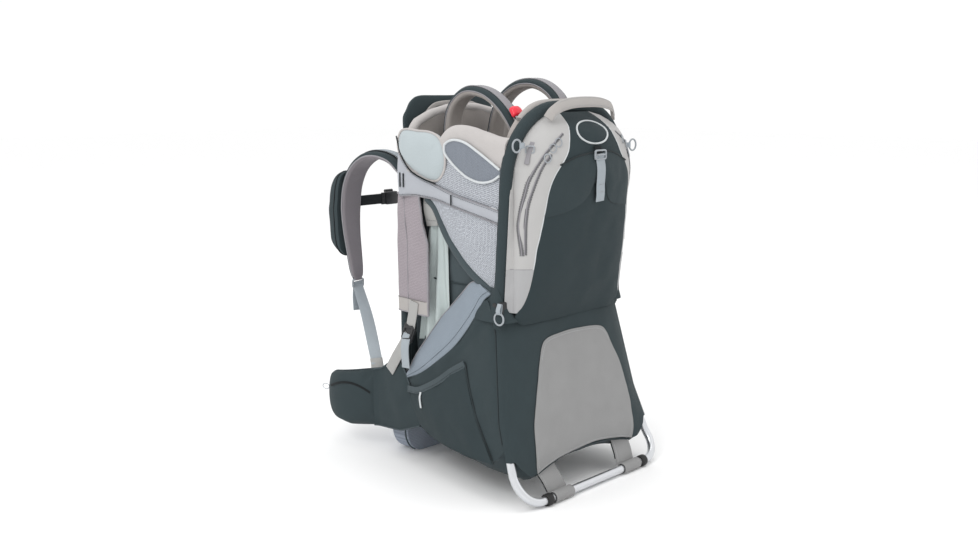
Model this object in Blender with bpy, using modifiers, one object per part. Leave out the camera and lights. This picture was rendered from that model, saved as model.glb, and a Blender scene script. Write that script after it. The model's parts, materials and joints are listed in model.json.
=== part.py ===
"""A framed child carrier backpack: a tubular frame with a folding U-shaped kickstand, a child cockpit,
a storage pouch, a lower bag, an adjustable shoulder harness and a hip belt.

Metres, +Z up. The wearer faces +Y, so the storage pouch is at -Y and the wearer's left is at -X.
Every part is drawn from a datum at the kickstand's crossbar (y = 0), and the empty "carrier" then
moves the whole object so that its origin is the centre of its footprint.
"""

import math

import bmesh
import bpy
from mathutils import Matrix, Vector

# Driving dimensions
DATUM_Y = -0.3220        # moves the crossbar datum behind the origin
TUBE_R = 0.008           # main frame and kickstand tube
RAIL_R = 0.006           # lighter side rails
GAP = 0.0004             # between pieces that touch
FRONT_Y = 0.375          # plane of the front frame
FRAME_HALF_W = 0.150     # half width of the front frame
HOOP_HALF_W = 0.165      # half width of the rear hoop and kickstand
HOOP_Y = 0.100
HINGE_Y, HINGE_Z = 0.105, 0.345   # kickstand pivot
CROSSBAR_Y = 0.002
LEG_SPREAD = 0.2055       # half width of the kickstand at the floor
FOOT_R = 0.0115
HIP_X, HIP_Y = 0.1425, 0.452      # where each hip wing leaves the lumbar pad
STERNUM_Y, STERNUM_Z = 0.6005, 0.514
HIP_BUCKLE_Z = 0.104
RING_R = 0.011
BAND_Z_FRONT, BAND_Z_REAR = 0.585, 0.535
PANEL_Y = 0.386          # back of the suspended back panel
STRAP_X = 0.100          # centre of each shoulder strap
CHILD_STRAP_X = 0.060
SIDES = {"left": -1, "right": 1}

SIDE_VIEW = (math.pi / 2, 0, math.pi / 2)    # local x, y, z become world y, z, x
REAR_VIEW = (math.pi / 2, 0, 0)              # local x, y become world x, z

for old in list(bpy.data.objects):
    bpy.data.objects.remove(old, do_unlink=True)

parts = bpy.data.collections.new("child_carrier")
cutters = bpy.data.collections.new("cutters")
cutters.hide_render = True
bpy.context.scene.collection.children.link(parts)
bpy.context.scene.collection.children.link(cutters)

carrier = bpy.data.objects.new("carrier", None)
carrier.location = (0, DATUM_Y, 0)
parts.objects.link(carrier)


def pivot(name, at):
    """An empty on a joint's axis, which carries the pieces that move on it."""
    held = bpy.data.objects.new(name, None)
    held.location = at
    held.empty_display_size = 0.02
    held.parent = carrier
    parts.objects.link(held)
    return held


def carry(held, *moving):
    """Parents pieces to a pivot without moving them."""
    for piece in moving:
        piece.parent = held
        piece.location = piece.location - held.location


# Materials -------------------------------------------------------------------------------------

def material(name, colour, roughness, metallic=0.0):
    made = bpy.data.materials.new(name)
    made.use_nodes = True
    shader = made.node_tree.nodes["Principled BSDF"]
    shader.inputs["Base Color"].default_value = (*colour, 1)
    shader.inputs["Roughness"].default_value = roughness
    shader.inputs["Metallic"].default_value = metallic
    return made


ALUMINIUM = material("frame_aluminium", (0.78, 0.79, 0.80), 0.35, 1.0)
BLACK = material("black_plastic", (0.02, 0.02, 0.022), 0.45)
GREY_PLASTIC = material("grey_plastic", (0.42, 0.43, 0.44), 0.45)
RED = material("red_plastic", (0.75, 0.03, 0.04), 0.4)
RUBBER = material("foot_rubber", (0.015, 0.015, 0.016), 0.8)
DARK = material("dark_fabric", (0.035, 0.05, 0.052), 0.85)
GREY = material("grey_fabric", (0.42, 0.41, 0.42), 0.85)
MESH = material("grey_mesh", (0.45, 0.46, 0.50), 0.9)
MAUVE = material("mauve_foam", (0.36, 0.32, 0.33), 0.9)
MINT = material("pale_fleece", (0.60, 0.66, 0.65), 0.95)
WEBBING = material("grey_webbing", (0.36, 0.37, 0.39), 0.8)


# Making shapes ---------------------------------------------------------------------------------

def arc_corner(before, corner, after, radius, steps=6):
    """Points of the fillet that rounds a corner of a path."""
    before, corner, after = Vector(before), Vector(corner), Vector(after)
    into, out = (before - corner).normalized(), (after - corner).normalized()
    half = into.angle(out) / 2
    reach = radius / math.tan(half)
    centre = corner + (into + out).normalized() * (radius / math.sin(half))
    start, end = corner + into * reach - centre, corner + out * reach - centre
    turn = start.angle(end)
    found = []
    for i in range(steps + 1):
        t = i / steps
        weights = math.sin((1 - t) * turn) / math.sin(turn), math.sin(t * turn) / math.sin(turn)
        found.append(centre + start * weights[0] + end * weights[1])
    return found


def rounded(points, radii, steps=6, cyclic=False):
    """A path through points with its corners filleted. radii has one value a point, 0 for a sharp one."""
    path = []
    count = len(points)
    for i, (point, radius) in enumerate(zip(points, radii)):
        if radius == 0 or (not cyclic and i in (0, count - 1)):
            path.append(Vector(point))
        else:
            path += arc_corner(points[i - 1], point, points[(i + 1) % count], radius, steps)
    return path


def smooth(points, steps=4):
    """A Catmull-Rom curve through points."""
    points = [Vector(p) for p in points]
    ends = [2 * points[0] - points[1], *points, 2 * points[-1] - points[-2]]
    path = []
    for a, b, c, d in zip(ends, ends[1:], ends[2:], ends[3:]):
        for i in range(steps):
            t = i / steps
            path.append(0.5 * (2 * b + (c - a) * t + (2 * a - 5 * b + 4 * c - d) * t * t
                               + (3 * b - a - 3 * c + d) * t ** 3))
    return path + [points[-1]]


def finish(obj, look, collection=parts):
    if obj.name not in collection.objects:
        for held in obj.users_collection:
            held.objects.unlink(obj)
        collection.objects.link(obj)
    obj.parent = carrier
    if look is not None:
        obj.data.materials.append(look)
    return obj


def curve_object(name, points, cyclic=False, flat=True):
    """A POLY curve object through points, which are 2D if flat."""
    data = bpy.data.curves.new(name, "CURVE")
    data.dimensions = "2D" if flat else "3D"
    spline = data.splines.new("POLY")
    spline.points.add(len(points) - 1)
    for held, point in zip(spline.points, points):
        held.co = (*tuple(point)[:2], 0, 1) if flat else (*point, 1)
    spline.use_cyclic_u = cyclic
    return bpy.data.objects.new(name, data)


def tube(name, path, radius, look, cyclic=False, sides=2):
    obj = curve_object(name, path, cyclic, flat=False)
    obj.data.bevel_depth = radius
    obj.data.bevel_resolution = sides
    obj.data.use_fill_caps = True
    return finish(obj, look)


def ribbon(name, path, width, thickness, look, view=(0, 0, 0), at=(0, 0, 0)):
    """A strap: a flat path in the plane of the view, as wide as it is deep in that view."""
    obj = curve_object(name, path)
    obj.data.extrude = width / 2
    obj.rotation_euler = view
    obj.location = at
    shell = obj.modifiers.new("thickness", "SOLIDIFY")
    shell.thickness = thickness
    shell.offset = 0
    shell.use_even_offset = True
    return finish(obj, look)


def plate(name, outline, thickness, look, view=(0, 0, 0), at=(0, 0, 0), round_edge=0.0):
    """A flat outline with a thickness, and with round edges if round_edge is given."""
    obj = curve_object(name, outline, cyclic=True)
    obj.data.fill_mode = "BOTH"
    obj.data.extrude = thickness / 2 - round_edge
    obj.data.bevel_depth = round_edge
    obj.data.bevel_resolution = 1
    obj.data.offset = -round_edge
    obj.rotation_euler = view
    obj.location = at
    return finish(obj, look)


def mound(name, outline, levels, centre, look, view=(0, 0, 0), at=(0, 0, 0)):
    """An outline drawn out of its plane through (height, scale in x, scale in y) levels about a centre."""
    mesh = bpy.data.meshes.new(name)
    made = bmesh.new()
    start, *above = levels
    corners = [made.verts.new((p[0], p[1], 0)) for p in outline]
    face = made.faces.new(corners)
    middle = Vector((centre[0], centre[1], 0))
    bmesh.ops.scale(made, vec=(start[1], start[2], 1), verts=corners, space=Matrix.Translation(-middle))
    bmesh.ops.translate(made, vec=(0, 0, start[0]), verts=corners)
    reached = start
    for level in above:
        drawn = bmesh.ops.extrude_face_region(made, geom=[face])["geom"]
        moved = [item for item in drawn if isinstance(item, bmesh.types.BMVert)]
        if reached is not start:
            bmesh.ops.delete(made, geom=[face], context="FACES_ONLY")
        face = next(item for item in drawn if isinstance(item, bmesh.types.BMFace))
        ratio = (level[1] / reached[1], level[2] / reached[2], 1)
        bmesh.ops.scale(made, vec=ratio, verts=moved, space=Matrix.Translation(-middle))
        bmesh.ops.translate(made, vec=(0, 0, level[0] - reached[0]), verts=moved)
        reached = level
    bmesh.ops.recalc_face_normals(made, faces=made.faces)
    made.to_mesh(mesh)
    made.free()
    obj = bpy.data.objects.new(name, mesh)
    obj.rotation_euler = view
    obj.location = at
    return finish(obj, look)


def block(name, low, high, look, round_edge=0.0, collection=parts):
    """A box from its lowest corner to its highest, with bevelled edges."""
    size = [h - l for l, h in zip(low, high)]
    mesh = bpy.data.meshes.new(name)
    made = bmesh.new()
    bmesh.ops.create_cube(made, size=1, matrix=Matrix.Diagonal((*size, 1)))
    made.to_mesh(mesh)
    made.free()
    obj = bpy.data.objects.new(name, mesh)
    obj.location = [(l + h) / 2 for l, h in zip(low, high)]
    if round_edge:
        edge = obj.modifiers.new("edges", "BEVEL")
        edge.width = round_edge
        edge.segments = 2
    return finish(obj, look, collection)


def strip(name, start, end, width, thickness, look, across):
    """A straight webbing from start to end, whose width lies along the direction across."""
    start, end = Vector(start), Vector(end)
    along = (end - start).normalized()
    across = (Vector(across) - along * along.dot(Vector(across))).normalized()
    out = along.cross(across)
    mesh = bpy.data.meshes.new(name)
    made = bmesh.new()
    bmesh.ops.create_cube(made, size=1, matrix=Matrix.Diagonal(((end - start).length, width, thickness, 1)))
    made.to_mesh(mesh)
    made.free()
    obj = bpy.data.objects.new(name, mesh)
    obj.rotation_euler = Matrix((along, across, out)).transposed().to_euler()
    obj.location = (start + end) / 2
    return finish(obj, look)


def cylinder(name, centre, axis, radius, length, look, collection=parts, sides=20):
    mesh = bpy.data.meshes.new(name)
    made = bmesh.new()
    bmesh.ops.create_cone(made, cap_ends=True, segments=sides, radius1=radius, radius2=radius, depth=length)
    made.to_mesh(mesh)
    made.free()
    mesh.shade_smooth()
    mesh.set_sharp_from_angle(angle=math.radians(40))
    obj = bpy.data.objects.new(name, mesh)
    obj.rotation_euler = Vector(axis).to_track_quat("Z", "Y").to_euler()
    obj.location = centre
    return finish(obj, look, collection)


def ring(name, centre, major, minor, look, view=(0, 0, 0)):
    bpy.ops.mesh.primitive_torus_add(location=centre, rotation=view, major_radius=major, minor_radius=minor,
                                     major_segments=18, minor_segments=6)
    obj = bpy.context.active_object
    obj.name = name
    return finish(obj, look)


def cut(obj, cutter):
    taken = obj.modifiers.new("cut_" + cutter.name, "BOOLEAN")
    taken.operation = "DIFFERENCE"
    taken.object = cutter
    cutter.hide_render = True
    cutter.display_type = "WIRE"


def to_mesh(obj):
    """The mesh object that stands for a curve object, with its caps welded, so that it can be cut."""
    bpy.context.view_layer.update()
    evaluated = obj.evaluated_get(bpy.context.evaluated_depsgraph_get())
    mesh = bpy.data.meshes.new_from_object(evaluated)
    welded = bmesh.new()
    welded.from_mesh(mesh)
    bmesh.ops.remove_doubles(welded, verts=welded.verts, dist=0.00001)
    welded.to_mesh(mesh)
    welded.free()
    name = obj.name
    obj.name = name + "_curve"
    made = bpy.data.objects.new(name, mesh)
    parts.objects.link(made)
    made.parent = carrier
    made.matrix_basis = obj.matrix_basis
    bpy.data.objects.remove(obj)
    return made


# Frame -----------------------------------------------------------------------------------------

def front_frame():
    """The closed hoop behind the back panel: two uprights, a rounded top and a bottom bar."""
    top, bottom, shoulder = 0.700, 0.075, 0.120
    corners = [(-FRAME_HALF_W, bottom), (-FRAME_HALF_W, top), (FRAME_HALF_W, top), (FRAME_HALF_W, bottom)]
    path = rounded([(x, FRONT_Y, z) for x, z in corners], [0.04, shoulder, shoulder, 0.04], 7, cyclic=True)
    tube("front_frame", path, TUBE_R, ALUMINIUM, cyclic=True)


def rail_z(y):
    """Height of the cockpit rail at y."""
    share = (y - HOOP_Y) / (FRONT_Y - HOOP_Y)
    return BAND_Z_REAR + (BAND_Z_FRONT - BAND_Z_REAR) * share


def side_rails(side, s):
    """The cockpit rail between the front frame and the rear hoop, and the seat rail under it."""
    x = s * 0.158
    front, rear = FRONT_Y - 0.004, HOOP_Y + TUBE_R + 0.0008
    # the front end is bent outwards past the upright, which it clears
    tube(f"cockpit_rail_{side}", smooth([(s * 0.1655, front, rail_z(front)), (s * 0.1645, 0.345, rail_z(0.345)),
                                         (x, 0.300, rail_z(0.300)), (x, 0.200, rail_z(0.2)),
                                         (s * 0.161, 0.140, rail_z(0.14)), (s * HOOP_HALF_W, rear, rail_z(rear))], 2),
         RAIL_R, ALUMINIUM)
    top_y = 0.283
    seat = smooth([(HINGE_Y + 0.0230, HINGE_Z + 0.020), (0.164, 0.389), (0.216, 0.433), (0.256, 0.490),
                   (top_y, rail_z(top_y) - 2 * RAIL_R - 0.002)], 3)
    tube(f"seat_rail_{side}", [(s * 0.160, p.x, p.y) for p in (v.to_3d() for v in seat)], RAIL_R, ALUMINIUM)


def rear_hoop():
    """The inverted U behind the child, from one hinge bracket over the top to the other."""
    foot, top, lean = HINGE_Z + 0.0293, 0.722, 0.022
    corners = [(-HOOP_HALF_W, foot), (-HOOP_HALF_W, top), (HOOP_HALF_W, top), (HOOP_HALF_W, foot)]
    path = rounded([(x, HOOP_Y, z) for x, z in corners], [0, 0.125, 0.125, 0], 9)
    tube("rear_hoop", [(p.x, HINGE_Y - lean * (p.z - foot) / (top - foot), p.z) for p in path], TUBE_R, ALUMINIUM)


def hinge(side, s):
    """A clevis bracket that holds the kickstand's leg on a pin, with a lock button in its outer face."""
    x, wide, deep = s * HOOP_HALF_W, 0.026, 0.034
    low, high = HINGE_Z - 0.014, HINGE_Z + 0.028
    bracket = block(f"hinge_bracket_{side}", (x - wide / 2, HINGE_Y - deep / 2, low),
                    (x + wide / 2, HINGE_Y + deep / 2, high), BLACK, 0.002)
    slot = block(f"slot_{side}", (x - TUBE_R - 0.001, HINGE_Y - deep, low - 0.01),
                 (x + TUBE_R + 0.001, HINGE_Y + deep, HINGE_Z + 0.0135), None, collection=cutters)
    pin_hole = cylinder(f"pin_hole_{side}", (x, HINGE_Y, HINGE_Z), (1, 0, 0), 0.0033, 0.05, None, cutters, 16)
    outer = x + s * wide / 2
    button_z = HINGE_Z + 0.0205
    well = cylinder(f"button_well_{side}", (outer, HINGE_Y, button_z), (1, 0, 0), 0.0054, 0.016, None, cutters)
    for tool in (slot, pin_hole, well):
        cut(bracket, tool)
    cylinder(f"hinge_pin_{side}", (x, HINGE_Y, HINGE_Z), (1, 0, 0), 0.003, wide + 0.001, ALUMINIUM, sides=16)
    button = cylinder(f"lock_button_{side}", (outer - s * 0.0005, HINGE_Y, button_z), (1, 0, 0), 0.005, 0.008,
                      BLACK)
    carry(pivot(f"lock_axis_{side}", (outer, HINGE_Y, button_z)), button)
    return pin_hole


def kickstand(pin_holes):
    """The U tube that swings on the hinge pins: its legs splay outwards and lean back to the crossbar."""
    half = [(HOOP_HALF_W, HINGE_Y + 0.001, HINGE_Z + 0.0095), (0.1655, 0.104, 0.322), (0.192, 0.071, 0.150),
            (0.2045, 0.036, 0.057), (LEG_SPREAD, CROSSBAR_Y, FOOT_R)]
    corners = [(-x, y, z) for x, y, z in half] + half[::-1]
    path = rounded(corners, [0, 0.10, 0.25, 0, 0.044, 0.044, 0, 0.25, 0.10, 0], 6)
    leg = to_mesh(tube("kickstand_tube", path, TUBE_R, ALUMINIUM))
    for hole in pin_holes:
        cut(leg, hole)
    axis = pivot("kickstand_axis", (0, HINGE_Y, HINGE_Z))
    carry(axis, leg)
    for side, s in SIDES.items():
        at = (s * 0.147, CROSSBAR_Y, FOOT_R)
        foot = cylinder(f"kickstand_foot_{side}", at, (1, 0, 0), FOOT_R, 0.016, RUBBER)
        cut(foot, cylinder(f"foot_bore_{side}", at, (1, 0, 0), TUBE_R + GAP, 0.03, None, cutters))
        carry(axis, foot)


# Bags and cockpit ------------------------------------------------------------------------------

def lower_bag():
    """The bag between the kickstand's legs, from the waist down, with a sloped top under the child's legs."""
    outline = [(0.038, 0.066), (0.290, 0.074), (0.345, 0.115), (0.355, 0.190), (0.300, 0.235),
               (0.230, 0.300), (0.155, 0.360), (0.078, 0.338), (0.067, 0.290)]
    plate("lower_bag", rounded([Vector(p).to_3d() for p in outline], [0.012] * 9, 3, cyclic=True),
          0.292, DARK, SIDE_VIEW, round_edge=0.008)


def rear_pouch():
    """The storage pouch behind the rear hoop, seen from the rear as an arch with a round bottom."""
    outline = [(-0.120, 0.358), (0.120, 0.358), (0.153, 0.430), (0.153, 0.615), (0.095, 0.702),
               (-0.095, 0.702), (-0.153, 0.615), (-0.153, 0.430)]
    path = rounded([Vector(p).to_3d() for p in outline], [0.05, 0.05, 0.08, 0.08, 0.05, 0.05, 0.08, 0.08],
                   3, cyclic=True)
    levels = [(0, 1, 1), (0.020, 0.97, 0.985), (0.045, 0.84, 0.94), (0.060, 0.68, 0.86), (0.068, 0.48, 0.74)]
    mound("rear_pouch", path, levels, (0, 0.530), DARK, REAR_VIEW, (0, 0.0815, 0))


def grab_handle():
    path = smooth([(-0.094, 0.7085), (-0.072, 0.7335), (-0.03, 0.7435), (0.03, 0.7435), (0.072, 0.7335),
                   (0.094, 0.7085)], 3)
    ribbon("grab_handle", path, 0.030, 0.004, GREY, REAR_VIEW, (0, 0.045, 0))


def base_straps(side, s):
    """A wide strap from the lower bag's rear edge, round the kickstand's crossbar."""
    reach = TUBE_R + 0.0016
    wrap = [(CROSSBAR_Y + reach * math.cos(a), FOOT_R + reach * math.sin(a))
            for a in [math.radians(25 + 28 * i) for i in range(10)]]
    ribbon(f"base_strap_{side}", [(0.041, 0.060), (0.024, 0.036), *wrap], 0.052, 0.0018, GREY, SIDE_VIEW,
           (s * 0.109, 0, 0))


def cockpit_liner():
    """The padded wall round the child, open above and below, with a leg opening on each side."""
    low, high, wall = 0.372, 0.678, 0.009
    plan = rounded([(-0.148, 0.122, 0), (0.148, 0.122, 0), (0.148, 0.361, 0), (-0.148, 0.361, 0)],
                   [0.035, 0.035, 0.02, 0.02], 4, cyclic=True)
    outer = curve_object("cockpit_liner", plan, cyclic=True)
    outer.data.fill_mode = "NONE"
    outer.data.extrude = (high - low) / 2
    outer.location = (0, 0, (low + high) / 2)
    shell = outer.modifiers.new("thickness", "SOLIDIFY")
    shell.thickness = wall
    shell.offset = -1
    shell.use_even_offset = True
    liner = to_mesh(finish(outer, DARK))
    leg = plate("leg_opening", [(0.06, 0.30), (0.345, 0.30), (0.345, 0.540), (0.275, 0.540), (0.250, 0.492),
                                (0.210, 0.440), (0.160, 0.402), (0.110, 0.388), (0.06, 0.385)],
                0.40, None, SIDE_VIEW)
    dip = plate("rim_dip", [(0.240, 0.72), (0.240, 0.665), (0.262, 0.600), (0.352, 0.600), (0.352, 0.72)],
                0.40, None, SIDE_VIEW)
    for tool in (leg, dip):
        mesh_tool = to_mesh(tool)
        parts.objects.unlink(mesh_tool)
        cutters.objects.link(mesh_tool)
        cut(liner, mesh_tool)


def face_pads(side, s):
    """A rounded pad that folds over each side of the cockpit's rim beside the child's face."""
    outline = [(0.250, 0.604), (0.352, 0.604), (0.352, 0.682), (0.300, 0.686), (0.250, 0.650)]
    plate(f"face_pad_{side}", rounded([Vector(p).to_3d() for p in outline], [0.015, 0.015, 0.02, 0.03, 0.02],
                                      3, cyclic=True),
          0.024, MINT, SIDE_VIEW, (s * 0.163, 0, 0), round_edge=0.007)


def child_seat():
    block("child_seat", (-0.062, 0.140, 0.392), (0.062, 0.330, 0.412), GREY, 0.005)
    strip("crotch_strap", (0, 0.296, 0.4125), (0, 0.296, 0.446), 0.034, 0.004, WEBBING, (1, 0, 0))
    shell = block("harness_buckle", (-0.022, 0.287, 0.4465), (0.022, 0.305, 0.4865), BLACK, 0.003)
    well = cylinder("harness_button_well", (0, 0.305, 0.4665), (0, 1, 0), 0.0094, 0.018, None, cutters)
    cut(shell, well)
    button = cylinder("harness_button", (0, 0.3035, 0.4665), (0, 1, 0), 0.009, 0.007, RED)
    carry(pivot("harness_button_axis", (0, 0.305, 0.4665)), button)


def child_straps(side, s):
    """A padded strap that rises from the rear wall, arches over the child's shoulder and hangs in front."""
    paths = {"left": [(0.140, 0.628), (0.152, 0.672), (0.186, 0.716), (0.232, 0.745), (0.284, 0.748),
                      (0.322, 0.715), (0.332, 0.655), (0.326, 0.560)],
             "right": [(0.140, 0.628), (0.138, 0.690), (0.160, 0.738), (0.206, 0.763), (0.262, 0.758),
                       (0.306, 0.722), (0.326, 0.655), (0.326, 0.560)]}
    ribbon(f"child_strap_{side}", smooth(paths[side], 3), 0.042, 0.010, MAUVE, SIDE_VIEW,
           (s * CHILD_STRAP_X, 0, 0))
    # the adjuster lies on the strap's outer face, where the strap starts to arch
    low, high = Vector(paths[side][1]), Vector(paths[side][2])
    along = (high - low).normalized()
    out = Vector((-along.y, along.x)) * 0.0142
    start, end = low.lerp(high, 0.15) + out, low.lerp(high, 0.80) + out
    x = s * CHILD_STRAP_X
    strip(f"harness_adjuster_{side}", (x, *start), (x, *end), 0.034, 0.010, RED, (1, 0, 0))


# Back panel and harness ------------------------------------------------------------------------

def back_panel():
    block("back_panel", (-0.134, PANEL_Y, 0.200), (0.134, PANEL_Y + 0.014, 0.616), MESH, 0.005)
    outline = [(-0.130, 0.622), (0.130, 0.622), (0.130, 0.700), (0.098, 0.736), (-0.098, 0.736), (-0.130, 0.700)]
    plate("head_panel", rounded([Vector(p).to_3d() for p in outline], [0.01, 0.01, 0.03, 0.03, 0.03, 0.03], 3,
                                cyclic=True),
          0.018, DARK, REAR_VIEW, (0, PANEL_Y + 0.011, 0), round_edge=0.005)


def panel_wings(side, s):
    """The mesh wing that wraps round the front frame's upright, and the webbing that tensions it below."""
    plan = [(s * x, y) for x, y in [(0.1395, 0.3885), (0.1500, 0.3868), (0.1585, 0.3835), (0.1625, 0.3750),
                                    (0.1640, 0.3550), (0.1680, 0.3250), (0.1700, 0.2860)]]
    ribbon(f"panel_wing_{side}", plan, 0.225, 0.005, MAUVE, (0, 0, 0), (0, 0, 0.4325))
    strip(f"wing_buckle_{side}", (s * 0.172, 0.338, 0.292), (s * 0.172, 0.351, 0.262), 0.030, 0.007, BLACK,
          (0, 1, 0.4))
    strip(f"wing_webbing_{side}", (s * 0.1715, 0.353, 0.2565), (s * 0.1660, 0.410, 0.187), 0.022, 0.002,
          WEBBING, (0, 1, 0.7))


def shoulder_path():
    """Side view of a shoulder strap's centreline, from the yoke over the shoulder and down."""
    return smooth([(0.4190, 0.588), (0.450, 0.610), (0.490, 0.619), (0.532, 0.614), (0.570, 0.590),
                   (0.594, 0.550), (0.602, 0.500), (0.600, 0.450), (0.592, 0.400), (0.583, 0.345)], 2)


def shoulder_strap(side, s):
    pad = ribbon(f"shoulder_strap_{side}", shoulder_path(), 0.058, 0.013, MAUVE, SIDE_VIEW,
                 (s * STRAP_X, 0, 0))
    if side == "left":
        # a slit in the strap's inner edge, where the sternum webbing slides 24 mm
        pad = to_mesh(pad)
        slit = block("sternum_slit", (-0.1020, STERNUM_Y - 0.002, STERNUM_Z - 0.012),
                     (-0.060, STERNUM_Y + 0.002, STERNUM_Z + 0.012), None, collection=cutters)
        cut(pad, slit)
    webbing = strip(f"strap_webbing_{side}", (s * STRAP_X, 0.5825, 0.337), (s * 0.147, 0.470, 0.1885), 0.022,
                    0.002, WEBBING, (1, s * -0.4, 0))
    return pad, webbing


def strap_pocket():
    """The zipped pocket on the front of the left strap."""
    outline = [(0.6115, 0.560), (0.632, 0.560), (0.656, 0.505), (0.652, 0.440), (0.626, 0.398), (0.6135, 0.398),
               (0.6140, 0.500)]
    return plate("strap_pocket", rounded([Vector(p).to_3d() for p in outline], [0.003, 0.015, 0.03, 0.03, 0.012, 0.003, 0],
                                  3, cyclic=True),
          0.054, DARK, SIDE_VIEW, (-STRAP_X, 0, 0))


def harness_yoke():
    """The plate that carries both shoulder straps and slides up and down the back panel."""
    low_y = PANEL_Y + 0.0145
    outline = [(-0.130, 0.540), (0.130, 0.540), (0.130, 0.612), (-0.130, 0.612)]
    return plate("harness_yoke", rounded([Vector(p).to_3d() for p in outline], [0.02] * 4, 3, cyclic=True),
                 0.010, BLACK, REAR_VIEW, (0, low_y + 0.005, 0), round_edge=0.002)


def sternum_strap():
    """Two webbings between the shoulder straps, joined by a side-release buckle that opens sideways."""
    y, z = STERNUM_Y, STERNUM_Z
    left = strip("sternum_webbing_left", (-0.0750, y, z), (-0.0125, y, z), 0.022, 0.0025, BLACK, (0, 0, 1))
    right = strip("sternum_webbing_right", (0.0325, y, z), (0.0705, y, z), 0.022, 0.0025, BLACK, (0, 0, 1))
    socket = block("sternum_socket", (-0.001, y - 0.006, z - 0.014), (0.032, y + 0.006, z + 0.014), BLACK, 0.0025)
    throat = block("socket_throat", (-0.01, y - 0.003, z - 0.0095), (0.0205, y + 0.003, z + 0.0095), None,
                   collection=cutters)
    cut(socket, throat)
    # the plug is a wide grip outside the socket and a tongue inside it
    half = [(-0.012, 0.0130), (-0.0015, 0.0130), (-0.0015, 0.0090), (0.0195, 0.0070)]
    outline = half + [(px, -pz) for px, pz in half[::-1]]
    plug = plate("sternum_plug", outline, 0.005, BLACK, REAR_VIEW, (0, y, z))
    return left, right, socket, plug


# Hip belt --------------------------------------------------------------------------------------

def lumbar_pad():
    """The pad behind the wearer's hips. The carrier stands on its flat bottom and on the kickstand."""
    outline = [(-0.126, 0), (0.126, 0), (0.126, 0.178), (-0.126, 0.178)]
    levels = [(0, 1, 1), (-0.042, 1, 1), (-0.056, 0.95, 1), (-0.063, 0.86, 1)]
    path = rounded([Vector(p).to_3d() for p in outline], [0.045, 0.045, 0.02, 0.02], 4, cyclic=True)
    mound("lumbar_pad", path, levels, (0, 0.090), MESH, REAR_VIEW, (0, 0.402, 0))


def hip_wing(side, s):
    """One padded wing of the belt, curved forwards round the wearer's hip, with a rounded tip."""
    plan = smooth([(s * HIP_X, 0.448), (s * 0.153, 0.478), (s * 0.166, 0.515), (s * 0.172, 0.548),
                   (s * 0.169, 0.578), (s * 0.160, 0.604)], 2)
    wing = to_mesh(ribbon(f"hip_wing_{side}", plan, 0.150, 0.026, DARK, (0, 0, 0), (0, 0, 0.115)))
    corners = [(0.440, 0.060), (0.530, 0.050), (0.589, 0.062), (0.589, 0.152), (0.440, 0.182)]
    shape = to_mesh(plate(f"hip_shape_{side}", rounded([Vector(p).to_3d() for p in corners],
                                                       [0, 0.06, 0.045, 0.045, 0], 4, cyclic=True),
                          0.5, None, SIDE_VIEW))
    parts.objects.unlink(shape)
    cutters.objects.link(shape)
    cut(wing, shape)
    wing.modifiers[-1].operation = "INTERSECT"
    # the belt's webbing runs inwards from the wing's tip
    path = [(s * 0.1625, 0.5940), (s * 0.144, 0.616), (s * 0.118, 0.629), (s * 0.0955, 0.634)]
    if side == "left":
        path[-1] = (s * 0.0860, 0.635)
    webbing = ribbon(f"hip_webbing_{side}", smooth([Vector(p) for p in path], 3), 0.038, 0.0025, BLACK,
                     (0, 0, 0), (0, 0, HIP_BUCKLE_Z))
    return wing, webbing


def hip_plug():
    """The tongue of the belt's buckle, open, on the left wing's webbing."""
    z = HIP_BUCKLE_Z
    return block("hip_buckle_plug", (-0.0855, 0.629, z - 0.022), (-0.055, 0.641, z + 0.022), BLACK, 0.003)


def hip_socket():
    """The hollow half of the belt's buckle, on the right wing's webbing."""
    z = HIP_BUCKLE_Z
    socket = block("hip_buckle_socket", (0.050, 0.627, z - 0.026), (0.095, 0.643, z + 0.026), BLACK, 0.004)
    throat = block("hip_throat", (0.040, 0.631, z - 0.018), (0.080, 0.639, z + 0.018), None, collection=cutters)
    cut(socket, throat)
    return socket


# Gear rings ------------------------------------------------------------------------------------

def gear_rings(side, s):
    """Rings in fabric tabs: one beside the pouch's top, and one that hangs outside the hinge bracket."""
    upper = {"left": (-0.1765, 0.056, 0.657), "right": (0.1765, 0.062, 0.645)}[side]
    lower = {"left": (-0.1850, 0.090, 0.343), "right": (0.1850, 0.114, 0.343)}[side]
    high = ring(f"gear_ring_upper_{side}", upper, RING_R, 0.0016, GREY_PLASTIC, REAR_VIEW)
    carry(pivot(f"upper_ring_axis_{side}", (upper[0] - s * RING_R, *upper[1:])), high)
    low = ring(f"gear_ring_lower_{side}", lower, RING_R, 0.0016, GREY_PLASTIC, SIDE_VIEW)
    carry(pivot(f"lower_ring_axis_{side}", (lower[0], lower[1], lower[2] + RING_R)), low)


# Assembly --------------------------------------------------------------------------------------

front_frame()
rear_hoop()
holes = [hinge(side, s) for side, s in SIDES.items()]
kickstand(holes)
lower_bag()
rear_pouch()
grab_handle()
cockpit_liner()
child_seat()
back_panel()
lumbar_pad()

# the harness slides on the back panel, and the buckle's plug and webbing draw out of its socket
harness = pivot("harness_axis", (0, PANEL_Y + 0.0145, 0.576))
release = pivot("sternum_axis", (-0.0015, STERNUM_Y, STERNUM_Z))
left_webbing, right_webbing, sternum_socket, sternum_plug = sternum_strap()
carry(harness, harness_yoke(), strap_pocket(), right_webbing, sternum_socket)
carry(release, left_webbing, sternum_plug)

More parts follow.
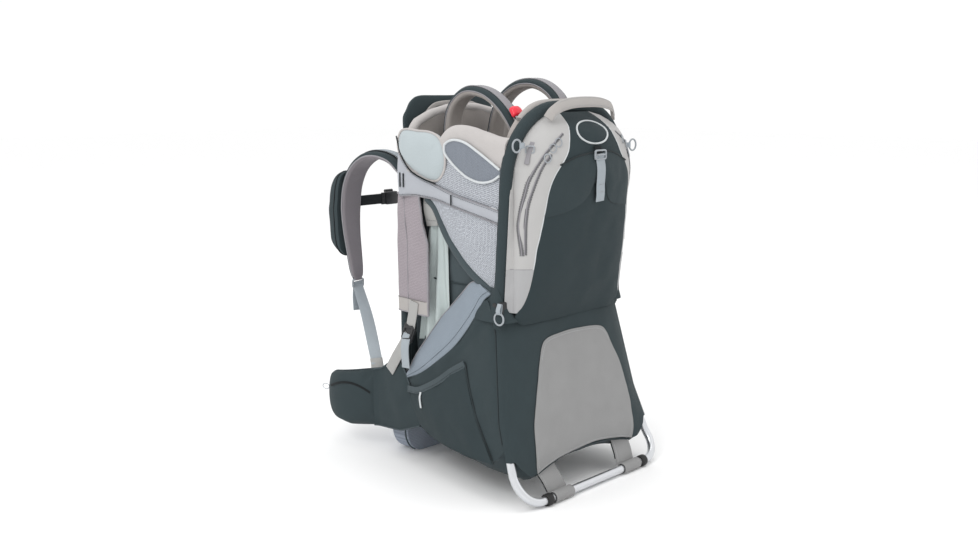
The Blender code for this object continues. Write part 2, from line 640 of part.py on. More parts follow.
for side_name, sign in SIDES.items():
    side_rails(side_name, sign)
    base_straps(side_name, sign)
    face_pads(side_name, sign)
    child_straps(side_name, sign)
    panel_wings(side_name, sign)
    gear_rings(side_name, sign)
    carry(harness, shoulder_strap(side_name, sign)[0])
    hip = pivot(f"hip_axis_{side_name}", (sign * HIP_X, HIP_Y, HIP_BUCKLE_Z))
    carry(hip, *hip_wing(side_name, sign), hip_plug() if sign < 0 else hip_socket())
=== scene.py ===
"""The look of the framed child carrier: cloth, pads, webbing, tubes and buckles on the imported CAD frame."""

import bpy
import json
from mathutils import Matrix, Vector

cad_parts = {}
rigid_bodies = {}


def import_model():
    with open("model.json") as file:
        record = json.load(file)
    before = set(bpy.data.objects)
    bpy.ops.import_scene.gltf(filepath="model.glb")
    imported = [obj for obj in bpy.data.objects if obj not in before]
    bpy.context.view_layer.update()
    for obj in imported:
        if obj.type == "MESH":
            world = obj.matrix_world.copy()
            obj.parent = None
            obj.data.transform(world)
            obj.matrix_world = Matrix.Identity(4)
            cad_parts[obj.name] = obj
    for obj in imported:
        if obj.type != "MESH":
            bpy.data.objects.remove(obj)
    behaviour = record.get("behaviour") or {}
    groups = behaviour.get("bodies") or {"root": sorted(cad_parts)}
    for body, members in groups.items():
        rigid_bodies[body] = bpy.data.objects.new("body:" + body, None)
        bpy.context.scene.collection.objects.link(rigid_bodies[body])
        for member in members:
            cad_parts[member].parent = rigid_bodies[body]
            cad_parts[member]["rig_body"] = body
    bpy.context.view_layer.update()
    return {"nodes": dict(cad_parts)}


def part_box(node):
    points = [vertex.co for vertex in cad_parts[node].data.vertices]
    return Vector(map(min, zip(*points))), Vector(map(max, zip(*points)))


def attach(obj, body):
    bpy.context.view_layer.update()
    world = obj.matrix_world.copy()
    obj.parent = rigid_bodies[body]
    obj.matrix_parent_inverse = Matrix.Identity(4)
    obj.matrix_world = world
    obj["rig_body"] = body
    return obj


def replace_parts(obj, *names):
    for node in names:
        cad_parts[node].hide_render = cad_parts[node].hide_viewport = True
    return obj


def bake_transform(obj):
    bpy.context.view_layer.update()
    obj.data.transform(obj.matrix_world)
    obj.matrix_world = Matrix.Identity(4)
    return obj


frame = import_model()

import json
import math

import bmesh
import bpy
import numpy as np
from mathutils import Vector, kdtree, noise

SIDES = {"left": -1, "right": 1}
# pieces are drawn from a datum at the kickstand's crossbar, found from the back panel's rear face
DATUM_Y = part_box("back_panel")[0].y - 0.386
HINGE_Y, HINGE_Z = 0.105, 0.345
HOOP_X, HOOP_FOOT, HOOP_TOP, HOOP_CORNER, HOOP_LEAN = 0.165, HINGE_Z + 0.0293, 0.722, 0.125, 0.022
UPRIGHT_X, UPRIGHT_Y = 0.150, 0.375
TUBE_R = 0.008
CROSSBAR_Y, FOOT_R = 0.002, 0.0115
WAVE_LENGTH = 0.314  # metres between the ridges of a wave texture of scale 1


# Materials ---------------------------------------------------------------------------------------

def linear(colour):
    """An sRGB colour of 0 to 255, as linear RGBA."""
    return [((c / 255 + 0.055) / 1.055) ** 2.4 if c > 10 else c / 255 / 12.92 for c in colour] + [1]


class Shader:
    """A node tree being built: each call adds one node, with its inputs set or linked."""

    def __init__(self, name):
        self.material = bpy.data.materials.new(name)
        self.material.use_nodes = True
        self.tree = self.material.node_tree
        self.surface = self.tree.nodes["Principled BSDF"]

    def put(self, socket, value):
        if isinstance(value, bpy.types.NodeSocket):
            self.tree.links.new(value, socket)
        else:
            socket.default_value = value

    def add(self, kind, inputs=(), **settings):
        node = self.tree.nodes.new("ShaderNode" + kind)
        for key, value in settings.items():
            setattr(node, key, value)
        for key, value in dict(inputs).items():
            self.put(node.inputs[key], value)
        return node

    def mix(self, factor, first, second, blend="MIX"):
        node = self.add("Mix", data_type="RGBA", blend_type=blend)
        for index, value in ((0, factor), (6, first), (7, second)):
            self.put(node.inputs[index], value)
        return node.outputs[2]

    def math(self, operation, first, second=0.0):
        node = self.add("Math", operation=operation)
        for index, value in enumerate((first, second)):
            self.put(node.inputs[index], value)
        return node.outputs[0]

    def ramp(self, factor, low, high):
        return self.add("MapRange", {"Value": factor, "From Min": low, "From Max": high}).outputs[0]

    def noise(self, where, scale, detail, rough=0.5):
        inputs = {"Vector": where, "Scale": scale, "Detail": detail, "Roughness": rough}
        return self.add("TexNoise", inputs).outputs[0]

    def wave(self, where, pitch, axis, distortion=0.0):
        inputs = {"Vector": where, "Scale": WAVE_LENGTH / pitch, "Distortion": distortion}
        return self.add("TexWave", inputs, bands_direction=axis).outputs[1]

    def finish(self, colour, rough, bump_height=None, bump=0.3, distance=0.0006, **constants):
        for key, value in {"Base_Color": colour, "Roughness": rough, **constants}.items():
            self.put(self.surface.inputs[key.replace("_", " ")], value)
        if bump_height is not None:
            node = self.add("Bump", {"Strength": bump, "Distance": distance, "Height": bump_height})
            self.put(self.surface.inputs["Normal"], node.outputs[0])
        return self.material


def fabric(name, colour, weave="cloth", pitch=0.0022, bump=0.35, rough=0.82, sheen=0.25, depth=0.16,
           tint=0.10):
    """Cloth whose pattern follows the piece's own weave coordinates: threads, mesh holes, pile or ribs."""
    s = Shader(name)
    base = linear(colour)
    dark = [c * (1 - depth * 2.2) for c in base[:3]] + [1]
    where = s.add("Attribute", attribute_name="weave").outputs["Vector"]
    broad, fibre = s.noise(where, 22, 3.0), s.noise(where, 1400, 2.0)
    if weave == "mesh":
        cells = s.add("TexVoronoi", {"Vector": where, "Scale": 1 / pitch, "Randomness": 0.25},
                      voronoi_dimensions="2D").outputs["Distance"]
        pattern = s.ramp(cells, 0.15, 0.5)
    elif weave == "fleece":
        pattern = s.ramp(s.noise(where, 420, 5.0, 0.7), 0.25, 0.75)
    elif weave == "ribs":
        rib, cross = s.wave(where, pitch, "X", 0.6), s.wave(where, pitch * 0.7, "Y")
        pattern = s.math("MULTIPLY", s.ramp(rib, -0.4, 1.0), s.ramp(cross, -0.9, 1.0))
    else:
        pattern = s.math("MAXIMUM", s.wave(where, pitch, "X", 0.4), s.wave(where, pitch, "Y", 0.4))
    shade = s.mix(pattern, dark, base)
    grey = s.math("ADD", s.math("MULTIPLY", broad, tint * 1.6), 1 - tint * 0.8)
    flecks = s.math("ADD", s.math("MULTIPLY", fibre, tint), 1 - tint * 0.5)
    tone = s.math("MULTIPLY", grey, flecks)
    tone_colour = s.add("CombineColor", {"Red": tone, "Green": tone, "Blue": tone}).outputs[0]
    shade = s.mix(1.0, shade, tone_colour, "MULTIPLY")
    height = s.math("ADD", pattern, s.math("MULTIPLY", fibre, 0.5))
    roughness = s.math("ADD", s.math("MULTIPLY", broad, 0.16), rough - 0.08)
    return s.finish(shade, roughness, height, bump, 0.0007, Sheen_Weight=sheen * 0.35, Sheen_Roughness=0.45,
                    Specular_IOR_Level=0.14)


def plastic(name, colour, rough=0.42, grain=0.12, coat=0.0):
    """Moulded plastic: fine grain, and scuffs that dull it here and there."""
    s = Shader(name)
    where = s.add("TexCoord").outputs["Object"]
    grains, scuff = s.noise(where, 1500, 2.0), s.noise(where, 60, 5.0, 0.65)
    base = linear(colour)
    worn = [min(1, c * 1.35 + 0.012) for c in base[:3]] + [1]
    shade = s.mix(s.ramp(scuff, 0.5, 0.85), base, worn)
    roughness = s.math("ADD", s.math("MULTIPLY", scuff, 0.25), rough - 0.1)
    return s.finish(shade, roughness, grains, grain, 0.0004, Coat_Weight=coat)


def metal(name, colour, rough=0.28):
    """Satin aluminium tube: drawn lines along it, and a few dull marks."""
    s = Shader(name)
    where = s.add("Attribute", attribute_name="weave").outputs["Vector"]
    stretch = s.add("Mapping", {"Vector": where, "Scale": (6, 900, 1)}).outputs[0]
    lines, marks = s.noise(stretch, 1.0, 3.0), s.noise(where, 45, 5.0)
    base = linear(colour)
    dull = [c * 0.8 for c in base[:3]] + [1]
    shade = s.mix(s.ramp(marks, 0.55, 0.8), base, dull)
    roughness = s.math("ADD", s.math("MULTIPLY", marks, 0.2), rough - 0.08)
    return s.finish(shade, roughness, lines, 0.08, 0.0003, Metallic=1.0, Anisotropic=0.4)


DARK = fabric("dark_pack_cloth", (56, 66, 69), pitch=0.0018, depth=0.14, tint=0.14, sheen=0.15)
DARK_PANEL = fabric("dark_twill", (51, 61, 64), pitch=0.0014, depth=0.10, tint=0.10, sheen=0.12)
# slate binding cloth, also used as painted shade on the seat's side cloth inside the leg openings
SLATE = fabric("slate_binding_and_painted_shade", (78, 88, 92), "ribs", 0.0014, tint=0.08)
GUSSET = fabric("pale_gusset_cloth", (183, 182, 181), pitch=0.0018, depth=0.06, tint=0.07)
GUSSET_LOW = fabric("grey_gusset_cloth", (170, 170, 171), pitch=0.0018, depth=0.06, tint=0.07)
GREY_PANEL = fabric("grey_panel_cloth", (148, 148, 148), pitch=0.0020, depth=0.10, tint=0.10)
SIDE_MESH = fabric("side_air_mesh", (186, 190, 197), "mesh", 0.0035, bump=0.5, depth=0.32, sheen=0.1)
POCKET_MESH = fabric("pocket_mesh", (130, 136, 145), "mesh", 0.0026, bump=0.4, depth=0.14, sheen=0.1)
MAUVE_MESH = fabric("mauve_air_mesh", (160, 152, 157), "mesh", 0.0030, bump=0.5, depth=0.16, sheen=0.15)
LUMBAR_MESH = fabric("lumbar_air_mesh", (152, 160, 173), "mesh", 0.0034, bump=0.6, depth=0.16, sheen=0.1)
BACK_MESH = fabric("back_air_mesh", (150, 156, 166), "mesh", 0.0034, bump=0.6, depth=0.16, sheen=0.1)
BLUE_MESH = fabric("blue_grey_mesh", (138, 148, 158), "mesh", 0.0026, bump=0.35, depth=0.10, sheen=0.2)
ROLL = fabric("pinkish_brushed_cloth", (186, 182, 180), "fleece", bump=0.25, depth=0.05, sheen=0.5)
LINING = fabric("taupe_brushed_cloth", (170, 164, 160), "fleece", bump=0.3, depth=0.08, sheen=0.5)
LINER_MAUVE = fabric("mauve_brushed_cloth", (132, 127, 131), "fleece", bump=0.3, depth=0.08, sheen=0.4)
MINT = fabric("pale_mint_fleece", (176, 185, 188), "fleece", bump=0.35, depth=0.05, sheen=0.6)
FOLD = fabric("pale_green_lining", (188, 198, 197), pitch=0.0016, depth=0.05, tint=0.06, sheen=0.3)
BAND = fabric("grey_band_cloth", (172, 175, 181), pitch=0.0020, depth=0.08, tint=0.07)
PALE_EDGE = fabric("pale_piping", (208, 212, 214), "ribs", 0.0012, depth=0.05, tint=0.04)
GREY_EDGE = fabric("grey_edge_tape", (150, 148, 152), "ribs", 0.0012, depth=0.06, tint=0.05)
WEBBING = fabric("grey_webbing", (172, 180, 186), "ribs", 0.0020, bump=0.5, depth=0.14, sheen=0.1)
PALE_WEBBING = fabric("pale_webbing", (176, 176, 174), "ribs", 0.0020, bump=0.5, depth=0.12, sheen=0.1)
BLACK_WEBBING = fabric("black_webbing", (42, 46, 48), "ribs", 0.0020, bump=0.5, depth=0.2, sheen=0.1)
HANDLE = fabric("grey_handle_cloth", (172, 168, 165), pitch=0.0018, depth=0.07, tint=0.08)
THREAD = fabric("pale_thread", (196, 198, 200), "ribs", 0.0008, bump=0.2, depth=0.1)
DARK_THREAD = fabric("dark_thread", (46, 52, 54), "ribs", 0.0008, bump=0.2, depth=0.1)
ZIP = fabric("zip_tape", (124, 124, 127), "ribs", 0.0016, bump=0.6, depth=0.2)
DARK_ZIP = fabric("dark_zip_tape", (36, 40, 42), "ribs", 0.0016, bump=0.6, depth=0.2)
BLACK = plastic("black_nylon", (30, 31, 33))
GREY_NYLON = plastic("grey_nylon", (150, 155, 160), 0.4)
RED = plastic("red_nylon", (232, 34, 58), 0.32, coat=0.15)
RUBBER = plastic("black_rubber", (24, 24, 25), 0.62, 0.3)
ALUMINIUM = metal("satin_aluminium", (214, 216, 219))
STEEL = metal("plated_wire", (186, 190, 194), 0.3)

SLOTS = {"dark_fabric": (DARK, DARK_PANEL, SLATE, DARK_THREAD, DARK_ZIP, BLACK_WEBBING),
         "grey_fabric": (GUSSET, GUSSET_LOW, GREY_PANEL, BAND, HANDLE, ROLL, LINING, ZIP, FOLD, PALE_EDGE,
                         GREY_EDGE, THREAD),
         "grey_mesh": (SIDE_MESH, POCKET_MESH, LUMBAR_MESH, BLUE_MESH, BACK_MESH),
         "mauve_foam": (MAUVE_MESH, LINER_MAUVE), "pale_fleece": (MINT,),
         "grey_webbing": (WEBBING, PALE_WEBBING), "black_plastic": (BLACK,),
         "grey_plastic": (GREY_NYLON, STEEL), "red_plastic": (RED,), "foot_rubber": (RUBBER,),
         "frame_aluminium": (ALUMINIUM,)}
SLOT_OF = {look.name: slot for slot, looks in SLOTS.items() for look in looks}


# Making shapes -----------------------------------------------------------------------------------

def curve(points, count=None, closed=False):
    """Points evenly spaced along a smooth curve through the given ones."""
    p = np.asarray(points, float)
    if closed:
        q = np.vstack([p[-1], p, p[0], p[1]])
    else:
        q = np.vstack([2 * p[0] - p[1], p, 2 * p[-1] - p[-2]])
    t = np.linspace(0, 1, 16, endpoint=False)[:, None]
    run = []
    for a, b, c, d in zip(q, q[1:], q[2:], q[3:]):
        run.append(0.5 * (2 * b + (c - a) * t + (2 * a - 5 * b + 4 * c - d) * t ** 2
                          + (3 * b - a - 3 * c + d) * t ** 3))
    run = np.vstack(run + [p[:1] if closed else p[-1:]])
    return spaced(run, count or len(p) * 5, closed)


def spaced(run, count, closed=False):
    """Points evenly spaced along a line of points."""
    run = np.asarray(run, float)
    length = np.concatenate([[0], np.cumsum(np.linalg.norm(np.diff(run, axis=0), axis=1))])
    at = np.linspace(0, length[-1], count + 1)[:-1] if closed else np.linspace(0, length[-1], count)
    return np.stack([np.interp(at, length, run[:, k]) for k in range(run.shape[1])], 1)


def looped(run, count):
    """Evenly spaced points round a line of points whose end joins its start."""
    return spaced(np.vstack([run, run[:1]]), count, True)


def unit(v):
    """Vectors of length 1, along the last axis."""
    return v / np.maximum(np.linalg.norm(v, axis=-1, keepdims=True), 1e-9)


def mirror(s, points):
    """Points drawn for the right side, on the side s."""
    return np.array(points) * (s, 1, 1)


def at_x(x, yz):
    """The points of a (y, z) curve or grid, at x."""
    return np.stack([x + 0 * yz[..., 0], yz[..., 0], yz[..., 1]], -1)


def resized(outline, share):
    """An outline drawn in or out from its middle."""
    return outline.mean(0) + (outline - outline.mean(0)) * share


def full_turn(count):
    """Angles evenly spaced round a circle."""
    return np.linspace(0, 2 * math.pi, count, endpoint=False)


def arch(count):
    """From 0 up to 1 and back."""
    return np.sin(np.linspace(0, math.pi, count))


def dome(rows, cols):
    """A grid that is 0 at its edges and 1 in its middle."""
    return arch(rows)[:, None] * arch(cols)[None]


def wall(x, y, low, high, t):
    """A grid of points over y, between two heights, where t runs from 0 to 1 down its rows."""
    z = low[None] * (1 - t) + high[None] * t
    return np.stack([x + 0 * z, np.broadcast_to(y, z.shape), z], 2)


def wrinkles(points, size, depth, seed=0.0):
    """Smooth noise at each point, for cloth that isn't quite flat."""
    shift = Vector((seed, seed * 1.7, seed * 0.6))
    return np.array([noise.noise(Vector(p) / size + shift) for p in points.reshape(-1, 3)]
                    ).reshape(points.shape[:-1]) * depth


def linked(name, data):
    """A new object in the scene."""
    obj = bpy.data.objects.new(name, data)
    bpy.context.scene.collection.objects.link(obj)
    return obj


def store_weave(mesh, weave):
    """The coordinates that a cloth's pattern follows, at each vertex."""
    stored = mesh.attributes.new("weave", "FLOAT_VECTOR", "POINT")
    stored.data.foreach_set("vector", np.asarray(weave, np.float32).reshape(-1))


def piece(name, verts, faces, looks, body="frame", weave=None, face_looks=None, sharp=50):
    """A mesh object, moved from the datum to the shared frame and riding on a body, if one is given."""
    verts = np.asarray(verts, float).reshape(-1, 3) + (0, DATUM_Y, 0)
    mesh = bpy.data.meshes.new(name)
    mesh.from_pydata(verts.tolist(), [], [list(map(int, f)) for f in faces])
    for look in looks if isinstance(looks, (list, tuple)) else [looks]:
        mesh.materials.append(look)
    if face_looks is not None:
        mesh.polygons.foreach_set("material_index", np.asarray(face_looks, np.int32))
    mesh.shade_smooth()
    if sharp:
        mesh.set_sharp_from_angle(angle=math.radians(sharp))
    if weave is None:
        x, y, z = verts.T
        weave = np.stack([x + 0.8 * y, z + 0.3 * y, 0 * x], 1)
    store_weave(mesh, weave)
    obj = linked(name, mesh)
    if body:
        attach(obj, body)
    return obj


def face_outwards(obj):
    """The normals of a closed mesh, turned outwards."""
    turned = bmesh.new()
    turned.from_mesh(obj.data)
    bmesh.ops.recalc_face_normals(turned, faces=turned.faces)
    turned.to_mesh(obj.data)
    turned.free()


def grid_faces(rows, cols, wrap_rows=False, wrap_cols=False):
    """The quads between a grid's points, which are numbered row by row."""
    found = []
    for i in range(rows if wrap_rows else rows - 1):
        for j in range(cols if wrap_cols else cols - 1):
            a, b = i * cols + j, i * cols + (j + 1) % cols
            c, d = ((i + 1) % rows) * cols + (j + 1) % cols, ((i + 1) % rows) * cols + j
            found.append((a, b, c, d))
    return found


def fan(start, count, hub):
    """The triangles from a ring of points to a hub."""
    return [(start + j, start + (j + 1) % count, hub) for j in range(count)]


def grid_weave(g):
    """Distances along the rows and columns of a grid of points, in metres."""
    u = np.concatenate([np.zeros((g.shape[0], 1)), np.linalg.norm(np.diff(g, axis=1), axis=2).cumsum(1)], 1)
    v = np.concatenate([np.zeros((1, g.shape[1])), np.linalg.norm(np.diff(g, axis=0), axis=2).cumsum(0)], 0)
    return np.stack([u, v, 0 * u], 2)


def sheet(name, g, look, thick=0.002, body="frame", side=1, crumple=0.0, seed=0.0):
    """Cloth with a thickness: g is a grid of points on its outer face, and side says which way is out."""
    g = np.asarray(g, float)
    n = unit(np.cross(np.gradient(g, axis=0), np.gradient(g, axis=1))) * side
    if crumple:
        g = g + n * wrinkles(g, 0.035, crumple, seed)[..., None]
    rows, cols = g.shape[:2]
    weave = grid_weave(g).reshape(-1, 3)
    back = g - n * thick
    verts = np.concatenate([g.reshape(-1, 3), back.reshape(-1, 3)])
    front = grid_faces(rows, cols)
    size = rows * cols
    faces = [f if side > 0 else f[::-1] for f in front]
    faces += [tuple(i + size for i in (f[::-1] if side > 0 else f)) for f in front]
    index = np.arange(size).reshape(rows, cols)
    edge = [int(i) for i in np.concatenate([index[0], index[1:, -1], index[-1, -2::-1], index[-2:0:-1, 0]])]
    for a, b in zip(edge, edge[1:] + edge[:1]):
        quad = (a, a + size, b + size, b)
        faces.append(quad if side > 0 else quad[::-1])
    return piece(name, verts, faces, look, body, np.concatenate([weave, weave]))


def sweep(name, path, profile, across, looks, body="frame", closed=False, face_looks=None, scale=None):
    """A profile carried along a path. Profile points are (along across, along the outward normal)."""
    path = np.asarray(path, float)
    tangent = unit(np.gradient(path, axis=0))
    if closed:
        tangent = unit(np.roll(path, -1, 0) - np.roll(path, 1, 0))
    across = np.broadcast_to(np.asarray(across, float), path.shape)
    across = unit(across - tangent * (across * tangent).sum(1, keepdims=True))
    out = np.cross(tangent, across)
    profile = np.asarray(profile, float)
    scale = np.ones((len(path), 2)) if scale is None else np.asarray(scale, float)
    ring = (path[:, None] + across[:, None] * (profile[None, :, :1] * scale[:, None, :1])
            + out[:, None] * (profile[None, :, 1:2] * scale[:, None, 1:2]))
    count, sides = ring.shape[:2]
    faces = grid_faces(count, sides, closed, True)
    steps = np.concatenate([[0], np.linalg.norm(np.diff(path, axis=0), axis=1).cumsum()])
    around = np.concatenate([[0], np.linalg.norm(np.diff(profile, axis=0), axis=1).cumsum()])
    weave = np.stack(np.broadcast_arrays(steps[:, None], around[None], 0.0), 2).reshape(-1, 3)
    verts = ring.reshape(-1, 3)
    marks = None if face_looks is None else [face_looks[k % sides] for k in range(len(faces))]
    if not closed:
        faces.append(tuple(range(sides))[::-1])
        faces.append(tuple(range((count - 1) * sides, count * sides)))
        if marks is not None:
            marks += [face_looks[0], face_looks[0]]
    made = piece(name, verts, faces, looks, body, weave, marks)
    face_outwards(made)
    return made


def rounded_bar(width, thick, corner=None, steps=3):
    """The outline of a flat bar with round corners, as (across, out) points."""
    corner = min(width, thick) / 2 * 0.98 if corner is None else corner
    found = []
    for cx, cy, start in ((1, 1, 0), (-1, 1, 90), (-1, -1, 180), (1, -1, 270)):
        for k in range(steps + 1):
            a = math.radians(start + 90 * k / steps)
            found.append((cx * (width / 2 - corner) + corner * math.cos(a),
                          cy * (thick / 2 - corner) + corner * math.sin(a)))
    return found


def round_tube(name, path, radius, look, body="frame", closed=False, sides=14, up=(0, 0, 1)):
    """A tube that doesn't twist: its frame is carried along the path."""
    path = np.asarray(path, float)
    tangent = unit(np.roll(path, -1, 0) - np.roll(path, 1, 0)) if closed else unit(np.gradient(path, axis=0))
    across = []
    now = np.cross(tangent[0], up)
    if np.linalg.norm(now) < 0.1:
        now = np.cross(tangent[0], (1, 0.3, 0))
    for t in tangent:
        now = unit(now - t * now.dot(t))
        across.append(now)
    angles = np.linspace(0, 2 * math.pi, sides, endpoint=False)
    profile = np.stack([np.cos(angles), np.sin(angles)], 1)
    radii = np.broadcast_to(np.asarray(radius, float), (len(path),))
    return sweep(name, path, profile, np.array(across), look, body, closed,
                 scale=np.stack([radii, radii], 1))


def strap(name, path, width, thick, across, look, body="frame"):
    """Flat webbing along a path, as wide as it is along the direction across."""
    return sweep(name, path, rounded_bar(width, thick), across, look, body)


QUILT_DEPTH = 0.6


def pad(name, outline, place, half, look, body="frame", rings=9, power=2.6, back=None,
        quilt=None, edge=0.12, crumple=0.0008, seed=0.0):
    """A closed cushion: an outline in its own plane, placed by a function of (a, b, height), crowned on both
    faces and drawn in at its seam. quilt(a, b) from 0 to 1 pulls the cushion down along sewn lines."""
    outline = np.asarray(outline, float)
    centre, count = outline.mean(0), len(outline)
    sides = ((1, half), (-1, half if back is None else back))

    def pulled(a, b):
        return 1 - QUILT_DEPTH * quilt(a, b) if quilt else 1

    order = []
    for sign, reach in sides:
        rows = []
        for r in np.sin(np.linspace(0, math.pi / 2, rings + 1))[1:-1]:
            flat = centre + (outline - centre) * r
            height = np.full(count, reach * ((1 - r ** power) ** 0.5 * (1 - edge) + edge))
            rows.append((flat, sign * height * [pulled(*p) for p in flat]))
        rows.append((outline, np.full(count, sign * reach * edge)))
        order += rows[::sign]
    points = [(a, b, h) for flat, height in order for (a, b), h in zip(flat, height)]
    faces = grid_faces(len(order), count, False, True)
    for start, (sign, reach) in zip((0, (len(order) - 1) * count), sides):
        faces += fan(start, count, len(points))
        points.append((*centre, sign * reach * pulled(*centre)))
    weave = [(a, b, 0) for a, b, _ in points]
    verts = np.array([place(*p) for p in points])
    if crumple:
        verts = verts + wrinkles(verts, 0.03, crumple, seed)[:, None] * unit(verts - verts.mean(0))
    made = piece(name, verts, faces, look, body, weave, sharp=0)
    face_outwards(made)
    return made


def stitches(name, path, look=THREAD, body="frame", pitch=0.0045, length=0.003, radius=0.00035):
    """A seam's separate stitches, laid along a path."""
    path = np.asarray(path, float)
    total = np.linalg.norm(np.diff(path, axis=0), axis=1).sum()
    count = max(2, int(total / pitch))
    at = spaced(path, count * 2 + 1)
    verts, faces, weave = [], [], []
    for k in range(count):
        a, b = at[2 * k], at[2 * k + 1]
        along = unit(b - a)
        a, b = (a + b) / 2 - along * length / 2, (a + b) / 2 + along * length / 2
        one = unit(np.cross(along, (0.3, 0.5, 0.8)))
        two = np.cross(along, one)
        start = len(verts)
        for end in (a, b):
            for j in range(5):
                turn = 2 * math.pi * j / 5
                verts.append(end + radius * (one * math.cos(turn) + two * math.sin(turn)))
                weave.append((0, 0, 0))
        faces += [(start + j, start + (j + 1) % 5, start + 5 + (j + 1) % 5, start + 5 + j) for j in range(5)]
        faces += [tuple(start + j for j in range(5))[::-1], tuple(start + 5 + j for j in range(5))]
    return piece(name, verts, faces, look, body, np.array(weave), sharp=0)


EDGE_ANGLE = math.radians(35)


def carried(node, look, bevel):
    """A copy of a CAD node with softened edges, which stands for it."""
    source = frame["nodes"][node]
    mesh = source.data.copy()
    made = bmesh.new()
    made.from_mesh(mesh)
    bmesh.ops.remove_doubles(made, verts=made.verts, dist=1e-6)
    bmesh.ops.dissolve_limit(made, angle_limit=math.radians(1), verts=made.verts, edges=made.edges)
    made.to_mesh(mesh)
    made.free()
    mesh.materials.clear()
    mesh.materials.append(look)
    obj = linked(node + "_shape", mesh)
    if bevel:
        rounded = obj.modifiers.new("edges", "BEVEL")
        rounded.width = bevel
        rounded.segments = 2
        rounded.limit_method = "ANGLE"
        rounded.angle_limit = EDGE_ANGLE
        settle(obj)
    obj.data.shade_smooth()
    obj.data.set_sharp_from_angle(angle=EDGE_ANGLE)
    points = np.array([v.co for v in obj.data.vertices])
    store_weave(obj.data, np.stack([points[:, 0] + points[:, 1], points[:, 2], 0 * points[:, 0]], 1))
    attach(obj, source["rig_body"])
    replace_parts(obj, node)


def settle(obj):
    """The object's modifiers become its mesh."""
    bpy.context.view_layer.update()
    held = obj.evaluated_get(bpy.context.evaluated_depsgraph_get())
    mesh = bpy.data.meshes.new_from_object(held)
    obj.modifiers.clear()
    obj.data = mesh


SIM_FRAMES = 20


def swollen(obj, held, cap=0.006):
    """A stuffed piece filled by a cloth simulation: a remeshed copy swells under pressure, where held(point)
    is false, and the piece takes on its movement, up to cap."""
    copy = linked(obj.name + "_sim", obj.data.copy())
    skin = copy.modifiers.new("skin", "REMESH")
    skin.mode, skin.voxel_size = "VOXEL", 0.005
    settle(copy)
    rest = np.array([v.co for v in copy.data.vertices])
    group = copy.vertex_groups.new(name="held")
    group.add([i for i, p in enumerate(rest) if held(p - (0, DATUM_Y, 0))], 1.0, "REPLACE")
    cloth = copy.modifiers.new("cloth", "CLOTH")
    cloth.settings.use_pressure = True
    cloth.settings.uniform_pressure_force = 4.0
    cloth.settings.vertex_group_mass = "held"
    cloth.settings.tension_stiffness = cloth.settings.compression_stiffness = 12
    cloth.settings.effector_weights.gravity = 0
    cloth.point_cache.frame_start, cloth.point_cache.frame_end = 1, SIM_FRAMES
    scene = bpy.context.scene
    for frame_number in range(1, SIM_FRAMES + 1):
        scene.frame_set(frame_number)
    shaped = copy.evaluated_get(bpy.context.evaluated_depsgraph_get()).data
    moved = np.array([v.co for v in shaped.vertices]) - rest
    scene.frame_set(1)
    tree = kdtree.KDTree(len(rest))
    for i, p in enumerate(rest):
        tree.insert(p, i)
    tree.balance()
    for v in obj.data.vertices:
        near = tree.find_n(v.co, 6)
        weights = np.array([1 / (d + 0.002) for _, _, d in near])
        step = (moved[[i for _, i, _ in near]] * weights[:, None]).sum(0) / weights.sum()
        long = np.linalg.norm(step)
        v.co = np.array(v.co) + step * min(1, cap / max(long, 1e-9))
    bpy.data.objects.remove(copy)
    finer = obj.modifiers.new("finer", "SUBSURF")
    finer.levels = finer.render_levels = 1
    settle(obj)
    obj.data.shade_smooth()


def coons(low, high, left, right, rows=16, cols=24):
    """A grid over four boundary curves: low and high run left to right, left and right run upwards."""
    low, high = spaced(low, cols), spaced(high, cols)
    left, right = spaced(left, rows), spaced(right, rows)
    u, v = np.linspace(0, 1, cols)[None, :, None], np.linspace(0, 1, rows)[:, None, None]
    ruled = (1 - v) * low[None] + v * high[None] + (1 - u) * left[:, None] + u * right[:, None]
    corners = ((1 - u) * (1 - v) * low[0] + u * (1 - v) * low[-1] + (1 - u) * v * high[0] + u * v * high[-1])
    return ruled - corners


# Camera, floor and light -------------------------------------------------------------------------

AZIMUTH, ELEVATION, DISTANCE = math.radians(-47.0), math.radians(9.8), 2.23
TARGET = Vector((-0.042, 0.248 + DATUM_Y, 0.388))
back = Vector((math.sin(AZIMUTH) * math.cos(ELEVATION), -math.cos(AZIMUTH) * math.cos(ELEVATION),
               math.sin(ELEVATION)))
lens = bpy.data.cameras.new("camera")
lens.lens, lens.sensor_width = 41.12, 36
lens.clip_start, lens.clip_end = 0.05, 60
camera = linked("camera", lens)
camera.location = TARGET + back * DISTANCE
camera.rotation_euler = back.to_track_quat("Z", "Y").to_euler()
bpy.context.scene.camera = camera


